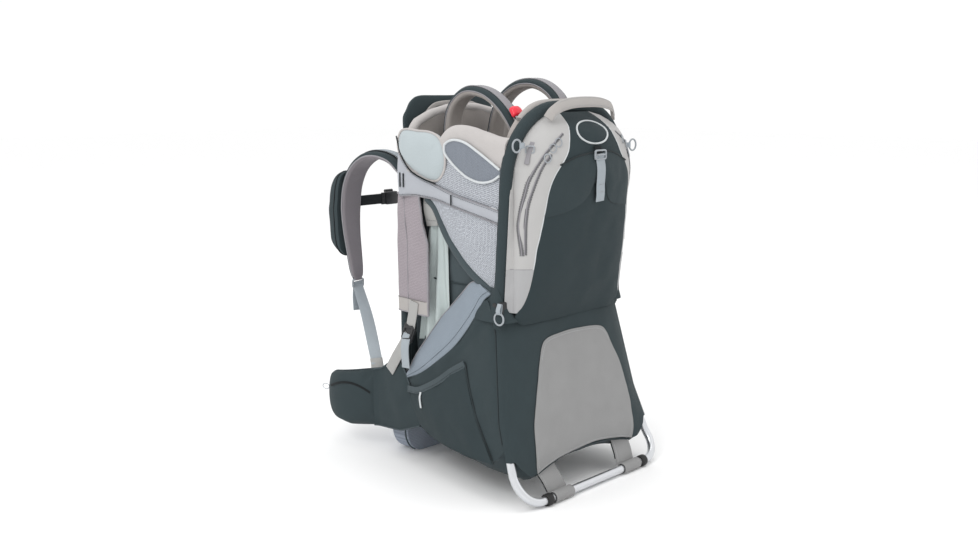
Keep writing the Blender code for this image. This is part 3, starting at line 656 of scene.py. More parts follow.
def studio():
    """A white floor and world, and soft lights on every side."""
    floor_look = Shader("studio_floor")
    grain = floor_look.add("TexNoise", {"Scale": 8.0, "Detail": 2.0}).outputs[0]
    tone = floor_look.mix(grain, (0.975, 0.975, 0.975, 1), (0.985, 0.985, 0.985, 1))
    floor_look.finish(tone, 0.9, Specular_IOR_Level=0.1)
    mesh = bpy.data.meshes.new("floor")
    reach = 14
    mesh.from_pydata([(-reach, -reach, 0), (reach, -reach, 0), (reach, reach, 0), (-reach, reach, 0)], [],
                     [(0, 1, 2, 3)])
    mesh.materials.append(floor_look.material)
    linked("floor", mesh)
    world = bpy.data.worlds.new("studio")
    bpy.context.scene.world = world
    world.use_nodes = True
    for socket, value in zip(world.node_tree.nodes["Background"].inputs, ((1, 1, 1, 1), 1.02)):
        socket.default_value = value
    lights = {"key": ((-2.4, -0.6, 2.4), 1.4, 24), "rear": ((1.8, -2.4, 2.2), 2.0, 3),
              "front": ((0.4, 2.6, 2.4), 2.4, 5), "top": ((0, 0, 3.2), 2.0, 12)}
    for name, (at, size, power) in lights.items():
        data = bpy.data.lights.new(name, "AREA")
        data.shape, data.size, data.energy = "DISK", size, power
        lamp = linked(name, data)
        lamp.location = at
        lamp.rotation_euler = (Vector(at) - Vector((0, 0, 0.35))).to_track_quat("Z", "Y").to_euler()
    bpy.context.scene.view_settings.view_transform = "Standard"


studio()


# Frame tubes -------------------------------------------------------------------------------------

def fillet(points, radii, steps=8):
    """A path through points, with each corner rounded to its radius."""
    points = [np.asarray(p, float) for p in points]
    path = []
    for i, (corner, radius) in enumerate(zip(points, radii)):
        if radius == 0:
            path.append(corner)
            continue
        before, after = points[i - 1], points[(i + 1) % len(points)]
        into, out = unit(before - corner), unit(after - corner)
        half = math.acos(float(np.clip(into @ out, -1, 1))) / 2
        middle = corner + unit(into + out) * radius / math.sin(half)
        start, end = (corner + way * radius / math.tan(half) - middle for way in (into, out))
        turn = math.acos(float(np.clip(unit(start) @ unit(end), -1, 1)))
        for k in range(steps + 1):
            t = k / steps
            path.append(middle + start * math.sin((1 - t) * turn) / math.sin(turn)
                        + end * math.sin(t * turn) / math.sin(turn))
    return np.array(path)


def wire_loop(name, corners, corner, count, radius, look, body="frame", **more):
    """A closed wire through corners that are rounded to one radius."""
    path = looped(fillet(corners, [corner] * len(corners), 4), count)
    return round_tube(name, path, radius, look, body, closed=True, **more)


def hoop_y(z):
    """The rear hoop leans back as it rises from its foot."""
    return HINGE_Y - HOOP_LEAN * (z - HOOP_FOOT) / (HOOP_TOP - HOOP_FOOT)


def hoop_path(inset=0.0, forward=0.0, foot=HOOP_FOOT):
    """The rear hoop's centreline, moved inwards and forwards."""
    half, top, corner = HOOP_X - inset, HOOP_TOP - inset, HOOP_CORNER - inset
    flat = fillet([(-half, foot), (-half, top), (half, top), (half, foot)], [0, corner, corner, 0], 12)
    flat = spaced(flat, 90)
    return np.stack([flat[:, 0], hoop_y(flat[:, 1]) + forward, flat[:, 1]], 1)


LEG = [(0.165, 0.106, 0.3545), (0.1655, 0.104, 0.322), (0.192, 0.071, 0.150), (0.2045, 0.036, 0.057),
       (0.2055, 0.002, 0.0115)]


def leg_at(z):
    """Where the kickstand's leg is at a height: (x, y) of its centreline on the right."""
    x, y, heights = np.array(LEG[::-1]).T
    return np.interp(z, heights, x), np.interp(z, heights, y)


def frame_tubes():
    """The front frame, the kickstand, its feet and hinges, the rear hoop, and the cloth round the tubes."""
    corners = [(x, UPRIGHT_Y, z) for x, z in ((-UPRIGHT_X, 0.075), (-UPRIGHT_X, 0.700), (UPRIGHT_X, 0.700),
                                              (UPRIGHT_X, 0.075))]
    path = looped(fillet(corners, [0.04, 0.12, 0.12, 0.04], 10), 110)
    made = round_tube("front_hoop_tube", path, TUBE_R, ALUMINIUM, closed=True, sides=18, up=(0, 1, 0))
    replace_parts(made, "front_frame")
    ends = [(-x, y, z) for x, y, z in LEG] + LEG[::-1]
    path = spaced(fillet(ends, [0, 0.10, 0.25, 0, 0.044, 0.044, 0, 0.25, 0.10, 0], 12), 120)
    made = round_tube("kickstand_bent_tube", path, TUBE_R, ALUMINIUM, "kickstand", sides=20, up=(0, 1, 0))
    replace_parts(made, "kickstand_tube")
    for side, s in SIDES.items():
        x = s * 0.147 + np.array([-0.0082, -0.0076, -0.006, 0.006, 0.0076, 0.0082])
        path = np.stack([x, 0 * x + CROSSBAR_Y, 0 * x + FOOT_R], 1)
        radius = np.array([0.0098, 0.0108, 0.0114, 0.0114, 0.0108, 0.0098])
        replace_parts(round_tube(f"foot_sleeve_{side}", path, radius, RUBBER, "kickstand", sides=24),
                    f"kickstand_foot_{side}")
        for node in (f"hinge_bracket_{side}", f"lock_button_{side}"):
            carried(node, BLACK, 0.0008)
        for node in (f"cockpit_rail_{side}", f"hinge_pin_{side}"):
            carried(node, ALUMINIUM, 0)
    carried("rear_hoop", ALUMINIUM, 0)
    # the hoop's cloth sleeve, a little uneven where it is gathered
    path = hoop_path()
    radius = 0.0120 + wrinkles(path, 0.02, 0.0005)
    round_tube("hoop_sleeve", path, radius, DARK, sides=20, up=(0, 1, 0))
    for offset in (0.55, 2.3):
        seam = hoop_path() + np.array([0, -math.cos(offset) * 0.0124, 0])
        stitches(f"hoop_sleeve_seam_{int(offset * 10)}", seam[4:-4], DARK_THREAD)
    for side, s in SIDES.items():
        flat = curve([(0.112, 0.378), (0.131, 0.386), (0.159, 0.401), (0.189, 0.421), (0.219, 0.449),
                      (0.241, 0.473), (0.257, 0.497), (0.266, 0.514), (0.279, 0.533), (0.298, 0.547)], 40)
        x = np.interp(flat[:, 0], [0.112, 0.15, 0.283], [0.1625, 0.1600, 0.1600])
        sleeve = round_tube(f"seat_rail_sleeve_{side}", at_x(s * x, flat), 0.0086, SLATE, sides=16)
        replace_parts(sleeve, f"seat_rail_{side}")


frame_tubes()


# Rear pouch --------------------------------------------------------------------------------------

POUCH_DEPTH = [(0.318, 0.004), (0.340, 0.011), (0.36, 0.020), (0.39, 0.031), (0.43, 0.042), (0.47, 0.050),
               (0.514, 0.057), (0.56, 0.063), (0.60, 0.067), (0.641, 0.066), (0.67, 0.058), (0.69, 0.044),
               (0.712, 0.013)]
SEAM_X = [(0.325, 0.1545), (0.346, 0.1540), (0.355, 0.1500), (0.367, 0.1420), (0.402, 0.134), (0.434, 0.131),
          (0.466, 0.130), (0.5, 0.125), (0.531, 0.121), (0.577, 0.116), (0.605, 0.105), (0.632, 0.085),
          (0.652, 0.072), (0.677, 0.061), (0.702, 0.049), (0.712, 0.045)]
POUCH_TOP, POUCH_CLOTH, POCKET_ROW = 0.7115, 0.0022, 10
POUCH_HALF, POUCH_CORNER, POUCH_CORNER_Z = 0.155, 0.115, 0.597


def at(table, x):
    """The smooth curve through a table, read at x."""
    fine = curve(table, 80)
    return np.interp(x, fine[:, 0], fine[:, 1])


def creases(x, z, size, depth, seed):
    """Soft folds of a skin over (x, z), shared by everything that is sewn to it."""
    flat = np.stack([x, 0 * x + seed, z], -1)
    return wrinkles(flat, size, depth, seed) + wrinkles(flat, size * 0.4, depth * 0.3, seed + 7)


def pouch_half_width(z):
    """Where the pouch meets the hoop's sleeve: its corner above, and a rounded lower end."""
    above = np.clip(z - POUCH_CORNER_Z, 0, None)
    top = POUCH_HALF - POUCH_CORNER + np.sqrt(np.maximum(POUCH_CORNER ** 2 - above ** 2, 0))
    low = POUCH_HALF - 0.06 * np.clip((0.345 - z) / 0.03, 0, 1) ** 2
    return np.where(z > POUCH_CORNER_Z, top, low)


def pouch_point(x, z, proud=0.0):
    """A point of the pouch's skin, and optionally a little outside it."""
    x, z = np.asarray(x, float), np.asarray(z, float)
    half = pouch_half_width(z)
    share = np.clip(np.abs(x) / half, 0, 1)
    swell = (1 - share ** 2.5) ** 0.4
    y = 0.0815 - (at(POUCH_DEPTH, z) + proud) * swell + creases(x, z, 0.045, 0.003, 5.0) * swell
    return np.stack([x * (1 + proud / POUCH_HALF), y, z], -1)


def pouch():
    """The pouch's gussets with their pockets, seams and zips, its rear panel and what is sewn to that."""
    for side, s in SIDES.items():
        rows = []
        for z in np.linspace(0.3525, POUCH_TOP, 46):
            outer, seam = pouch_half_width(z), min(at(SEAM_X, z), pouch_half_width(z) - 0.001)
            t = np.linspace(0, 1, 14)
            row = pouch_point(s * (seam + (outer - seam) * np.sin(t * math.pi / 2)), np.full(14, z))
            # outside its seam, the gusset's lower part reaches back to the hoop's sleeve
            low = float(np.clip((0.640 - z) / 0.08, 0, 1))
            edge = hoop_y(z) - 0.0126 - row[-1][1]
            reach = [row[-1] + (s * (a + (b - a) * low), c + (d * edge - c) * low, 0) for a, b, c, d in
                     ((0.0012, 0.0055, 0.0050, 0.6), (0.0022, 0.0130, 0.0105, 1.0))]
            rows.append(np.vstack([row, reach]))
        g = np.array(rows)
        upper, lower = g[POCKET_ROW:], g[:POCKET_ROW + 1]
        made = sheet(f"pouch_gusset_{side}", upper, GUSSET, POUCH_CLOTH, side=s)
        pocket = lower + (s * 0.0006, -0.0006, 0)
        sheet(f"pouch_gusset_pocket_{side}", pocket, GUSSET_LOW, POUCH_CLOTH, side=s)
        hem = g[POCKET_ROW] + (s * 0.001, -0.001, 0.0002)
        round_tube(f"gusset_pocket_hem_{side}", hem[1:-1], 0.0012, GREY_EDGE, sides=8)
        round_tube(f"gusset_low_piping_{side}", g[0] + (0, -0.0008, 0), 0.0015, PALE_EDGE, sides=10)
        z = np.linspace(0.3555, 0.711, 70)
        seam = pouch_point(s * np.minimum(at(SEAM_X, z), pouch_half_width(z) - 0.0006), z, 0.0012)
        round_tube(f"pouch_piping_{side}", seam, 0.0015, PALE_EDGE, sides=10)
        inner = pouch_point(s * (np.minimum(at(SEAM_X, z), pouch_half_width(z)) - 0.006), z, 0.0006)
        stitches(f"pouch_seam_stitch_{side}", inner, DARK_THREAD)
        if side == "left":
            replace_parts(made, "rear_pouch")
        zips(side, s)
    # the dark rear panel, between the two piped seams
    rows = []
    for z in np.linspace(0.326, POUCH_TOP, 54):
        half = min(at(SEAM_X, z), float(pouch_half_width(z)) - 0.0004)
        rows.append(pouch_point(half * np.sin(np.linspace(-1, 1, 40) * math.pi / 2), np.full(40, z)))
    sheet("pouch_rear_panel", np.array(rows), DARK_PANEL, POUCH_CLOTH)
    stretch_pocket()
    badge()
    closure_strap()


def zips(side, s):
    """Two zips side by side that arch over the gusset, with their pulls at the top."""
    outer = curve([(0.1505, 0.458), (0.1535, 0.50), (0.1535, 0.527), (0.1510, 0.565), (0.1450, 0.603),
                   (0.1230, 0.641), (0.0980, 0.662), (0.0760, 0.677)], 60)
    inner = curve([(0.1475, 0.460), (0.1485, 0.50), (0.1485, 0.526), (0.1465, 0.557), (0.1400, 0.591),
                   (0.1280, 0.621), (0.1120, 0.641)], 50)
    for name, line in (("outer", outer), ("inner", inner)):
        half = pouch_half_width(line[:, 1])
        normal = unit(np.tile((s * 0.9, -0.5, 0.0), (len(line), 1)))
        path = pouch_point(s * np.minimum(line[:, 0], half - 0.0004), line[:, 1], 0.0006)
        path = path + normal * 0.0011
        across = np.cross(unit(np.gradient(path, axis=0)), normal)
        strap(f"zip_{name}_{side}", path, 0.0068, 0.0014, across, ZIP)
        round_tube(f"zip_teeth_{name}_{side}", path + normal * 0.0009, 0.0011, GREY_EDGE, sides=8)
        for k, lift in enumerate((0.004, -0.004)):
            beside = path + unit(across) * lift + normal * 0.0003
            stitches(f"zip_stitch_{name}_{side}_{k}", beside, DARK_THREAD)
    for k, (x, z) in enumerate(((0.119, 0.634), (0.106, 0.651), (0.092, 0.661))):
        centre = pouch_point(s * x, z, 0.004)
        turn = full_turn(22)
        out = unit(np.array([s * 0.6, -0.75, 0.25]))
        one = unit(np.cross(out, (0, 0, 1)))
        two = np.cross(out, one)
        loop = centre + 0.0062 * (np.cos(turn)[:, None] * one + 1.25 * np.sin(turn)[:, None] * two)
        round_tube(f"zip_pull_{side}_{k}", loop, 0.0011, GREY_NYLON, closed=True, sides=8)


def stretch_pocket():
    """The pocket of darker cloth on the rear panel: an arched mouth above, and a scooped seam below."""
    mouth = curve([(-0.096, 0.621), (-0.060, 0.634), (-0.013, 0.640), (0.040, 0.640), (0.096, 0.621)], 50)
    scoop = curve([(-0.1205, 0.527), (-0.090, 0.532), (-0.053, 0.542), (-0.024, 0.561), (-0.007, 0.584),
                   (0.022, 0.584), (0.039, 0.553), (0.061, 0.541), (0.1185, 0.533)], 60)
    ends = []
    for s, low in ((-1, 0.527), (1, 0.533)):
        z = np.linspace(low, 0.621, 16)
        ends.append(np.stack([s * (at(SEAM_X, z) - 0.001), z], 1))
    g = coons(scoop, mouth, *ends, 18, 50)
    sheet("stretch_pocket", pouch_point(g[..., 0], g[..., 1], 0.0016 + 0.0035 * dome(18, 50)), DARK, 0.0016)
    for name, line, proud, radius in (("mouth", mouth, 0.0032, 0.0016), ("seam", scoop, 0.0018, 0.0010)):
        edge = pouch_point(line[:, 0], line[:, 1], proud)
        round_tube(f"stretch_pocket_{name}", edge, radius, DARK_THREAD, sides=8)
    for name, line, lift in (("mouth", mouth, -0.005), ("scoop", scoop, 0.004)):
        edge = pouch_point(line[:, 0], line[:, 1] + lift, 0.003)
        stitches(f"stretch_pocket_{name}_stitch", edge, DARK_THREAD)


def badge():
    """A blank oval patch with a pale bound edge, above the pocket."""
    turn, middle = full_turn(48), 0.6765
    x, z = 0.0430 * np.cos(turn), middle + 0.0205 * np.sin(turn)
    verts, rings = [], (1.0, 0.94, 0.7, 0.35)
    for r in rings:
        verts += list(pouch_point(x * r, middle + (z - middle) * r, 0.0022 + 0.0016 * (1 - r ** 6)))
    faces = grid_faces(len(rings), 48, False, True) + fan(3 * 48, 48, len(verts))
    verts.append(pouch_point(0.0, middle, 0.003) + (0, -0.0006, 0))
    piece("blank_badge", verts, faces, DARK_PANEL, sharp=0)
    round_tube("badge_border", pouch_point(x, z, 0.0032), 0.0018, PALE_EDGE, closed=True, sides=8)


def closure_strap():
    """A short webbing through a small ladder buckle that closes the stretch pocket."""
    line = curve([(-0.001, 0.638), (0.000, 0.620), (0.003, 0.590), (0.006, 0.565), (0.007, 0.549)], 26)
    path = pouch_point(line[:, 0], line[:, 1], 0.0085)
    strap("pocket_webbing", path, 0.0245, 0.0018, (1, 0, 0.1), WEBBING)
    for k, index in enumerate((16, 20)):
        row = path[index] + np.linspace(-0.010, 0.010, 12)[:, None] * np.array([1, 0, 0]) + (0, -0.0014, 0)
        stitches(f"pocket_webbing_bartack_{k}", row, THREAD, pitch=0.0022, length=0.0016)
    top = pouch_point(-0.001, 0.636, 0.010)
    corners = [top + (x, 0, z) for x, z in ((-0.0155, -0.008), (-0.0155, 0.008), (0.0155, 0.008),
                                            (0.0155, -0.008))]
    loop = fillet(corners, [0.003] * 4, 4)
    loop = spaced(np.vstack([loop, loop[:1]]), 40)
    strap("pocket_buckle_frame", loop, 0.0045, 0.003, (0, 1, 0), GREY_NYLON)
    bar = np.array([top + (-0.0125, -0.0006, 0), top + (0.0125, -0.0006, 0)])
    round_tube("pocket_buckle_bar", spaced(bar, 5), 0.0018, GREY_NYLON, sides=10)
    tab = pouch_point(np.array([-0.001, -0.001]), np.array([0.652, 0.636]), 0.006)
    strap("pocket_buckle_tab", spaced(tab, 6), 0.020, 0.0016, (1, 0, 0), BLACK_WEBBING)


pouch()


# Grab handle -------------------------------------------------------------------------------------

def grab_handle():
    """A padded band over the hoop's top, sewn down at both ends."""
    line = curve([(-0.096, 0.703), (-0.086, 0.7165), (-0.068, 0.7255), (-0.030, 0.7310), (0.030, 0.7310),
                  (0.068, 0.7255), (0.088, 0.7165), (0.102, 0.701)], 60)
    from_middle = np.abs(line[:, 0])
    y = np.interp(from_middle, [0, 0.08, 0.105], [0.040, 0.044, 0.058])
    path = np.stack([line[:, 0], y, line[:, 1]], 1)
    across = np.array([0, 0.42, 0.9])
    shape = [(0.0108 * math.cos(a), 0.0036 * math.sin(a)) for a in full_turn(20)]
    grow = np.interp(from_middle, [0, 0.07, 0.104], [1, 0.98, 0.8])
    made = sweep("grab_handle_pad", path, shape, across, HANDLE, scale=np.stack([grow, grow], 1))
    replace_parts(made, "grab_handle")
    for k, lift in enumerate((-0.0080, 0.0080)):
        stitches(f"grab_handle_stitch_{k}", path[3:-3] + across * lift + (0, -0.0027, 0.0010))


grab_handle()


# Lower bag ---------------------------------------------------------------------------------------

BAG_CENTRE = [(0.050, 0.032), (0.062, 0.031), (0.09, 0.029), (0.13, 0.032), (0.162, 0.036), (0.208, 0.044),
              (0.25, 0.055), (0.291, 0.066), (0.345, 0.086)]
BAG_LOW = [(0, 0.0765), (0.06, 0.0735), (0.11, 0.0630), (0.147, 0.0535), (0.165, 0.0600), (0.185, 0.0790),
           (0.200, 0.1040)]
# the bottom of the bag's right side, from below the kickstand's leg to the front, and its ends
BAG_BOTTOM = [(0.208, 0.078, 0.0850), (0.203, 0.14, 0.0725), (0.190, 0.21, 0.073), (0.172, 0.29, 0.080)]
BAG_FRONT_X, BAG_FRONT_Y, BAG_FRONT_LOW = 0.150, 0.362, 0.100
BAG_REAR_LOW, BAG_REAR_TOP, BAG_CLOTH = 0.104, 0.346, 0.002


def on_bag(obj):
    """The bag's cloth, hung between the frame and the kickstand: its placement is baked into its mesh."""
    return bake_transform(obj)


def bag_rear_y(x, z, proud=0.0):
    """The bag's rear face: sunk in the middle, and out to the kickstand's legs at the sides."""
    centre = at(BAG_CENTRE, z)
    leg_x, leg_y = leg_at(z)
    share = np.clip(np.abs(x) / (leg_x - 0.001), 0, 1) ** 5
    return centre + (leg_y - 0.0095 - centre) * share - proud + creases(x, z, 0.05, 0.003, 2.0) * (1 - share)


def bag_low_edge(x):
    """The rear face's lower edge: an arch in the middle, low at the corners."""
    return at(BAG_LOW, np.abs(x))


def bag_point(x, z, proud=0.0):
    """A point of the bag's rear face, and optionally a little outside it."""
    x, z = np.broadcast_arrays(np.asarray(x, float), np.asarray(z, float))
    return np.stack([x, bag_rear_y(x, z, proud), z], -1)


def bag_corner(s, z):
    """The bag's rear corner, which wraps the kickstand's leg."""
    leg_x, leg_y = leg_at(z)
    x = np.maximum(leg_x + 0.0100, np.interp(z, [0.27, 0.322], [0, 0.1830]))
    return np.stack([s * x, leg_y + 0.0010, z], -1)


def lower_bag():
    """The bag's rear face, its sides with what is sewn to them, its floor and its front."""
    rows = []
    for t in np.linspace(0, 1, 40):
        line = []
        for c in np.linspace(-1, 1, 46):
            z = bag_low_edge(c * 0.19) * (1 - t) + BAG_REAR_TOP * t
            line.append(bag_point(c * (leg_at(z)[0] - 0.002), z))
        for s, end in ((-1, line[0]), (1, line[-1])):
            corner = bag_corner(s, end[2])
            around = [corner + (-s * 0.0038, -0.0082, 0), corner]
            line = around[::-1] + line if s < 0 else line + around
        rows.append(np.array(line))
    made = sheet("lower_bag_rear", np.array(rows), DARK, BAG_CLOTH, None)
    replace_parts(made, "lower_bag")
    on_bag(made)
    for side, s in SIDES.items():
        rear = bag_corner(s, np.linspace(BAG_REAR_LOW, BAG_REAR_TOP, 20))
        front = curve(mirror(s, [(BAG_FRONT_X, BAG_FRONT_Y, BAG_FRONT_LOW), (0.160, 0.362, 0.130),
                                 (0.163, 0.361, 0.182)]), 20)
        low = curve([rear[0], *mirror(s, BAG_BOTTOM), front[0]], 44)
        high = mirror(s, [(0.1805, 0.126, 0.374), (0.1775, 0.154, 0.341), (0.175, 0.180, 0.307),
                          (0.174, 0.216, 0.269), (0.173, 0.266, 0.231), (0.171, 0.314, 0.199)])
        g = coons(low, curve([rear[-1], *high, front[-1]], 44), rear, front, 34, 44)
        g = g + np.array([s * 0.006, 0, 0]) * dome(34, 44)[..., None]
        on_bag(sheet(f"lower_bag_side_{side}", g, DARK, BAG_CLOTH, None, side=-s, crumple=0.0024, seed=9 + s))
        bag_details(side, s, g, rear)
    left = curve([bag_corner(-1, BAG_REAR_LOW), *mirror(-1, BAG_BOTTOM),
                  (-BAG_FRONT_X, BAG_FRONT_Y, BAG_FRONT_LOW)], 24)
    x = np.linspace(-0.2145, 0.2145, 30)
    rear = bag_point(np.clip(x, -0.2, 0.2), bag_low_edge(x))
    rear[:, 0] = x
    rear[0], rear[-1] = left[0], left[0] * (-1, 1, 1)
    front = np.linspace(left[-1], left[-1] * (-1, 1, 1), 30)
    g = coons(rear, front, left, left * (-1, 1, 1), 24, 30)
    on_bag(sheet("lower_bag_floor", g, DARK, BAG_CLOTH, None, side=-1, crumple=0.003, seed=4))
    g = np.array([[(x, BAG_FRONT_Y - 0.004 * math.cos(x * 9), z)
                   for x in np.linspace(-BAG_FRONT_X, BAG_FRONT_X, 24)]
                  for z in np.linspace(BAG_FRONT_LOW, 0.330, 20)])
    on_bag(sheet("lower_bag_front", g, DARK, BAG_CLOTH, None, side=-1, crumple=0.002, seed=6))


def on_grid(g, inward):
    """A function that finds the grid's point nearest to a (y, z), moved outwards a little."""
    flat = g.reshape(-1, 3)

    def found(y, z, proud=0.001):
        near = np.argsort((flat[:, 1] - y) ** 2 + (flat[:, 2] - z) ** 2)[:4]
        weight = 1 / (np.linalg.norm(flat[near][:, 1:] - (y, z), axis=1) + 1e-5)
        x = (flat[near][:, 0] * weight).sum() / weight.sum()
        return np.array([x - inward * proud, y, z])
    return found


def bag_details(side, s, g, rear):
    """Seams, the stretch pocket's hem and pull, and the pale mesh band along the bag's sloped top."""
    skin = on_grid(g, -s)

    def line(points, proud=0.0014, count=50):
        return np.array([skin(y, z, proud) for y, z in curve(points, count)])

    for name, points in (("pocket_seam", [(0.178, 0.246), (0.158, 0.205), (0.131, 0.152), (0.103, 0.110),
                                          (0.080, 0.076)]),
                         ("front_seam", [(0.350, 0.172), (0.347, 0.140), (0.340, 0.100)])):
        path = line(points)
        on_bag(round_tube(f"bag_{name}_{side}", path, 0.0011, DARK_THREAD, None, sides=8))
        on_bag(stitches(f"bag_{name}_stitch_{side}", path + (0, 0.005, 0), DARK_THREAD, None))
    corner = rear[1:-1] + (s * 0.0012, 0.001, 0)
    on_bag(round_tube(f"bag_corner_seam_{side}", corner, 0.0011, DARK_THREAD, None, sides=8))
    # the stretch pocket's cloth stands a little proud, under a bound hem
    hem = curve([(0.357, 0.164), (0.317, 0.170), (0.284, 0.184), (0.246, 0.205), (0.214, 0.228),
                 (0.180, 0.248)], 40)
    low = curve([(0.346, 0.100), (0.29, 0.083), (0.20, 0.076), (0.12, 0.074), (0.083, 0.075)], 40)
    front = curve([(0.346, 0.100), (0.353, 0.13), (0.357, 0.164)], 16)
    back = curve([(0.083, 0.075), (0.107, 0.110), (0.135, 0.152), (0.162, 0.205), (0.180, 0.248)], 16)
    flat = coons(low, hem, front, back, 16, 40)
    rise = arch(40)[None] * np.linspace(0.2, 1, 16)[:, None]
    cloth = np.array([[skin(y, z, 0.0016 + 0.005 * rise[i, j]) for j, (y, z) in enumerate(row)]
                      for i, row in enumerate(flat)])
    on_bag(sheet(f"side_pocket_{side}", cloth, DARK_PANEL, 0.0014, None, side=s, crumple=0.002, seed=11 + s))
    hem = cloth[-1] + (s * 0.0016, 0, -0.005)
    on_bag(strap(f"side_pocket_hem_{side}", hem, 0.0135, 0.0020, (0, -0.35, 1), SLATE, None))
    sewn = hem + (s * 0.0012, 0.001, -0.004)
    on_bag(stitches(f"side_pocket_hem_stitch_{side}", sewn, DARK_THREAD, None))
    spot = cloth[-1][12]
    slit = np.array([spot + (s * 0.0022, -0.006, -0.016), spot + (s * 0.0030, -0.006, -0.040)])
    on_bag(strap(f"side_pocket_slot_{side}", spaced(slit, 8), 0.0085, 0.0012, (0, 1, 0), BLACK_WEBBING, None))
    tab = curve([spot + (s * 0.0030, 0.003, -0.012), spot + (s * 0.0055, 0.0035, -0.024),
                 spot + (s * 0.0038, 0.002, -0.044)], 12)
    on_bag(strap(f"side_pocket_pull_{side}", tab, 0.0045, 0.0016, (0, 1, 0), PALE_EDGE, None))
    # the mesh band between the bag and the child's leg
    low = curve([(0.120, 0.383), (0.137, 0.369), (0.154, 0.341), (0.180, 0.307), (0.216, 0.269),
                 (0.266, 0.231), (0.314, 0.199), (0.357, 0.181)], 46)
    high = curve([(0.165, 0.400), (0.183, 0.396), (0.206, 0.374), (0.240, 0.341), (0.263, 0.319),
                  (0.303, 0.273), (0.342, 0.225), (0.360, 0.193)], 46)
    x_low = np.interp(low[:, 0], [0.12, 0.16, 0.36], [0.1735, 0.1765, 0.1655])
    x_high = np.interp(high[:, 0], [0.165, 0.36], [0.1615, 0.1585])
    low, high = at_x(s * x_low, low), at_x(s * x_high, high)
    g = coons(low, high, np.array([low[0], high[0]]), np.array([low[-1], high[-1]]), 12, 46)
    g = g + np.array([s * 0.005, 0, 0.003]) * arch(12)[:, None, None]
    on_bag(sheet(f"leg_band_{side}", g, BLUE_MESH, 0.004, None, side=-s, crumple=0.0012, seed=13 + s))
    for name, edge, look in (("low", low, SLATE), ("high", high, GREY_EDGE)):
        edge = edge + (s * 0.001, 0, 0)
        on_bag(round_tube(f"leg_band_{name}_edge_{side}", edge, 0.0010, look, None, sides=8))
    on_bag(stitches(f"leg_band_stitch_{side}", g[2] + (s * 0.0008, 0, 0), DARK_THREAD, None))


def rear_patch():
    """The grey panel on the bag's rear face, with an arch cut out of its lower edge."""
    left = curve([(-0.1465, 0.0545), (-0.151, 0.077), (-0.1475, 0.13), (-0.139, 0.170), (-0.128, 0.208),
                  (-0.115, 0.245), (-0.1045, 0.270), (-0.097, 0.2815)], 40)
    top = curve([(-0.097, 0.2815), (-0.088, 0.2895), (-0.072, 0.2945), (-0.04, 0.2975), (0, 0.2985),
                 (0.04, 0.2975), (0.072, 0.2945), (0.088, 0.2895), (0.097, 0.2815)], 46)
    half = 0.1465
    x = np.linspace(-half, half, 46)
    low = np.stack([x, 0.0765 - 0.022 * (np.abs(x) / half) ** 2.2], 1)
    g = coons(low, top, left, left * (-1, 1), 40, 46)
    cloth = bag_point(g[..., 0], g[..., 1], 0.0018 + 0.0010 * arch(40)[:, None])
    on_bag(sheet("lower_rear_panel", cloth, GREY_PANEL, 0.0016, None))
    outline = looped(np.vstack([g[0][1:-1], g[1:-1, -1], g[-1][::-1][1:-1], g[1:-1, 0][::-1]]), 150)
    edge = bag_point(outline[:, 0], outline[:, 1], 0.0022)
    on_bag(round_tube("lower_rear_panel_edge", edge, 0.0010, DARK_THREAD, None, closed=True, sides=8))
    inner = resized(outline, 0.965)
    on_bag(stitches("lower_rear_panel_stitch", bag_point(inner[:, 0], inner[:, 1], 0.0036), THREAD, None))
    seam = bag_point(0.0, np.linspace(0.3, 0.335, 20), 0.0008)
    on_bag(round_tube("lower_rear_centre_seam", seam, 0.0009, DARK_THREAD, None, sides=8))


def base_straps():
    """Wide webbing from the bag's lower corners, round the crossbar and back."""
    reach = TUBE_R + 0.0022
    for side, s in SIDES.items():
        turn = np.radians(np.linspace(20, 285, 16))
        wrap = [(CROSSBAR_Y + reach * math.cos(a), FOOT_R + reach * math.sin(a)) for a in turn]
        flat = curve([(0.0405, 0.066), (0.033, 0.053), (0.022, 0.036), *wrap], 60)
        drift = np.interp(np.linspace(0, 1, 60), [0, 0.5, 1], [0.118, 0.1065, 0.106])
        path = at_x(s * drift, flat)
        made = strap(f"base_webbing_{side}", path, 0.0525, 0.0020, (1, 0, 0), GREY_PANEL, "kickstand")
        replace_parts(made, f"base_strap_{side}")
        for k, lift in enumerate((-0.022, 0.022)):
            sewn = path[2:30] + (lift, -0.0012, 0.0008)
            stitches(f"base_webbing_stitch_{side}_{k}", sewn, THREAD, "kickstand")
        # the dark tape sewn inside the strap's edge
        inner = path[4:28] + np.array([0, 0.0035, -0.002])
        strap(f"base_webbing_lining_{side}", inner, 0.050, 0.0014, (1, 0, 0), BLACK_WEBBING, "kickstand")


lower_bag()
rear_patch()
base_straps()


# Cockpit -----------------------------------------------------------------------------------------

RIM_TOP = [(0.086, 0.668), (0.111, 0.671), (0.139, 0.676), (0.168, 0.683), (0.197, 0.688), (0.223, 0.688),
           (0.242, 0.684), (0.259, 0.672), (0.274, 0.645), (0.290, 0.620), (0.310, 0.612), (0.345, 0.614),
           (0.362, 0.640)]
ROLL_LOW = [(0.086, 0.600), (0.102, 0.612), (0.128, 0.628), (0.156, 0.643), (0.185, 0.656), (0.211, 0.660),
            (0.235, 0.653), (0.255, 0.636), (0.275, 0.608), (0.300, 0.596), (0.362, 0.600)]
BAND_TOP = [(0.095, 0.536), (0.112, 0.540), (0.162, 0.549), (0.221, 0.561), (0.278, 0.578), (0.326, 0.594),
            (0.352, 0.614), (0.369, 0.640)]
BAND_LOW = [(0.095, 0.512), (0.112, 0.515), (0.162, 0.525), (0.221, 0.537), (0.262, 0.546), (0.306, 0.550),
            (0.340, 0.550), (0.369, 0.547)]
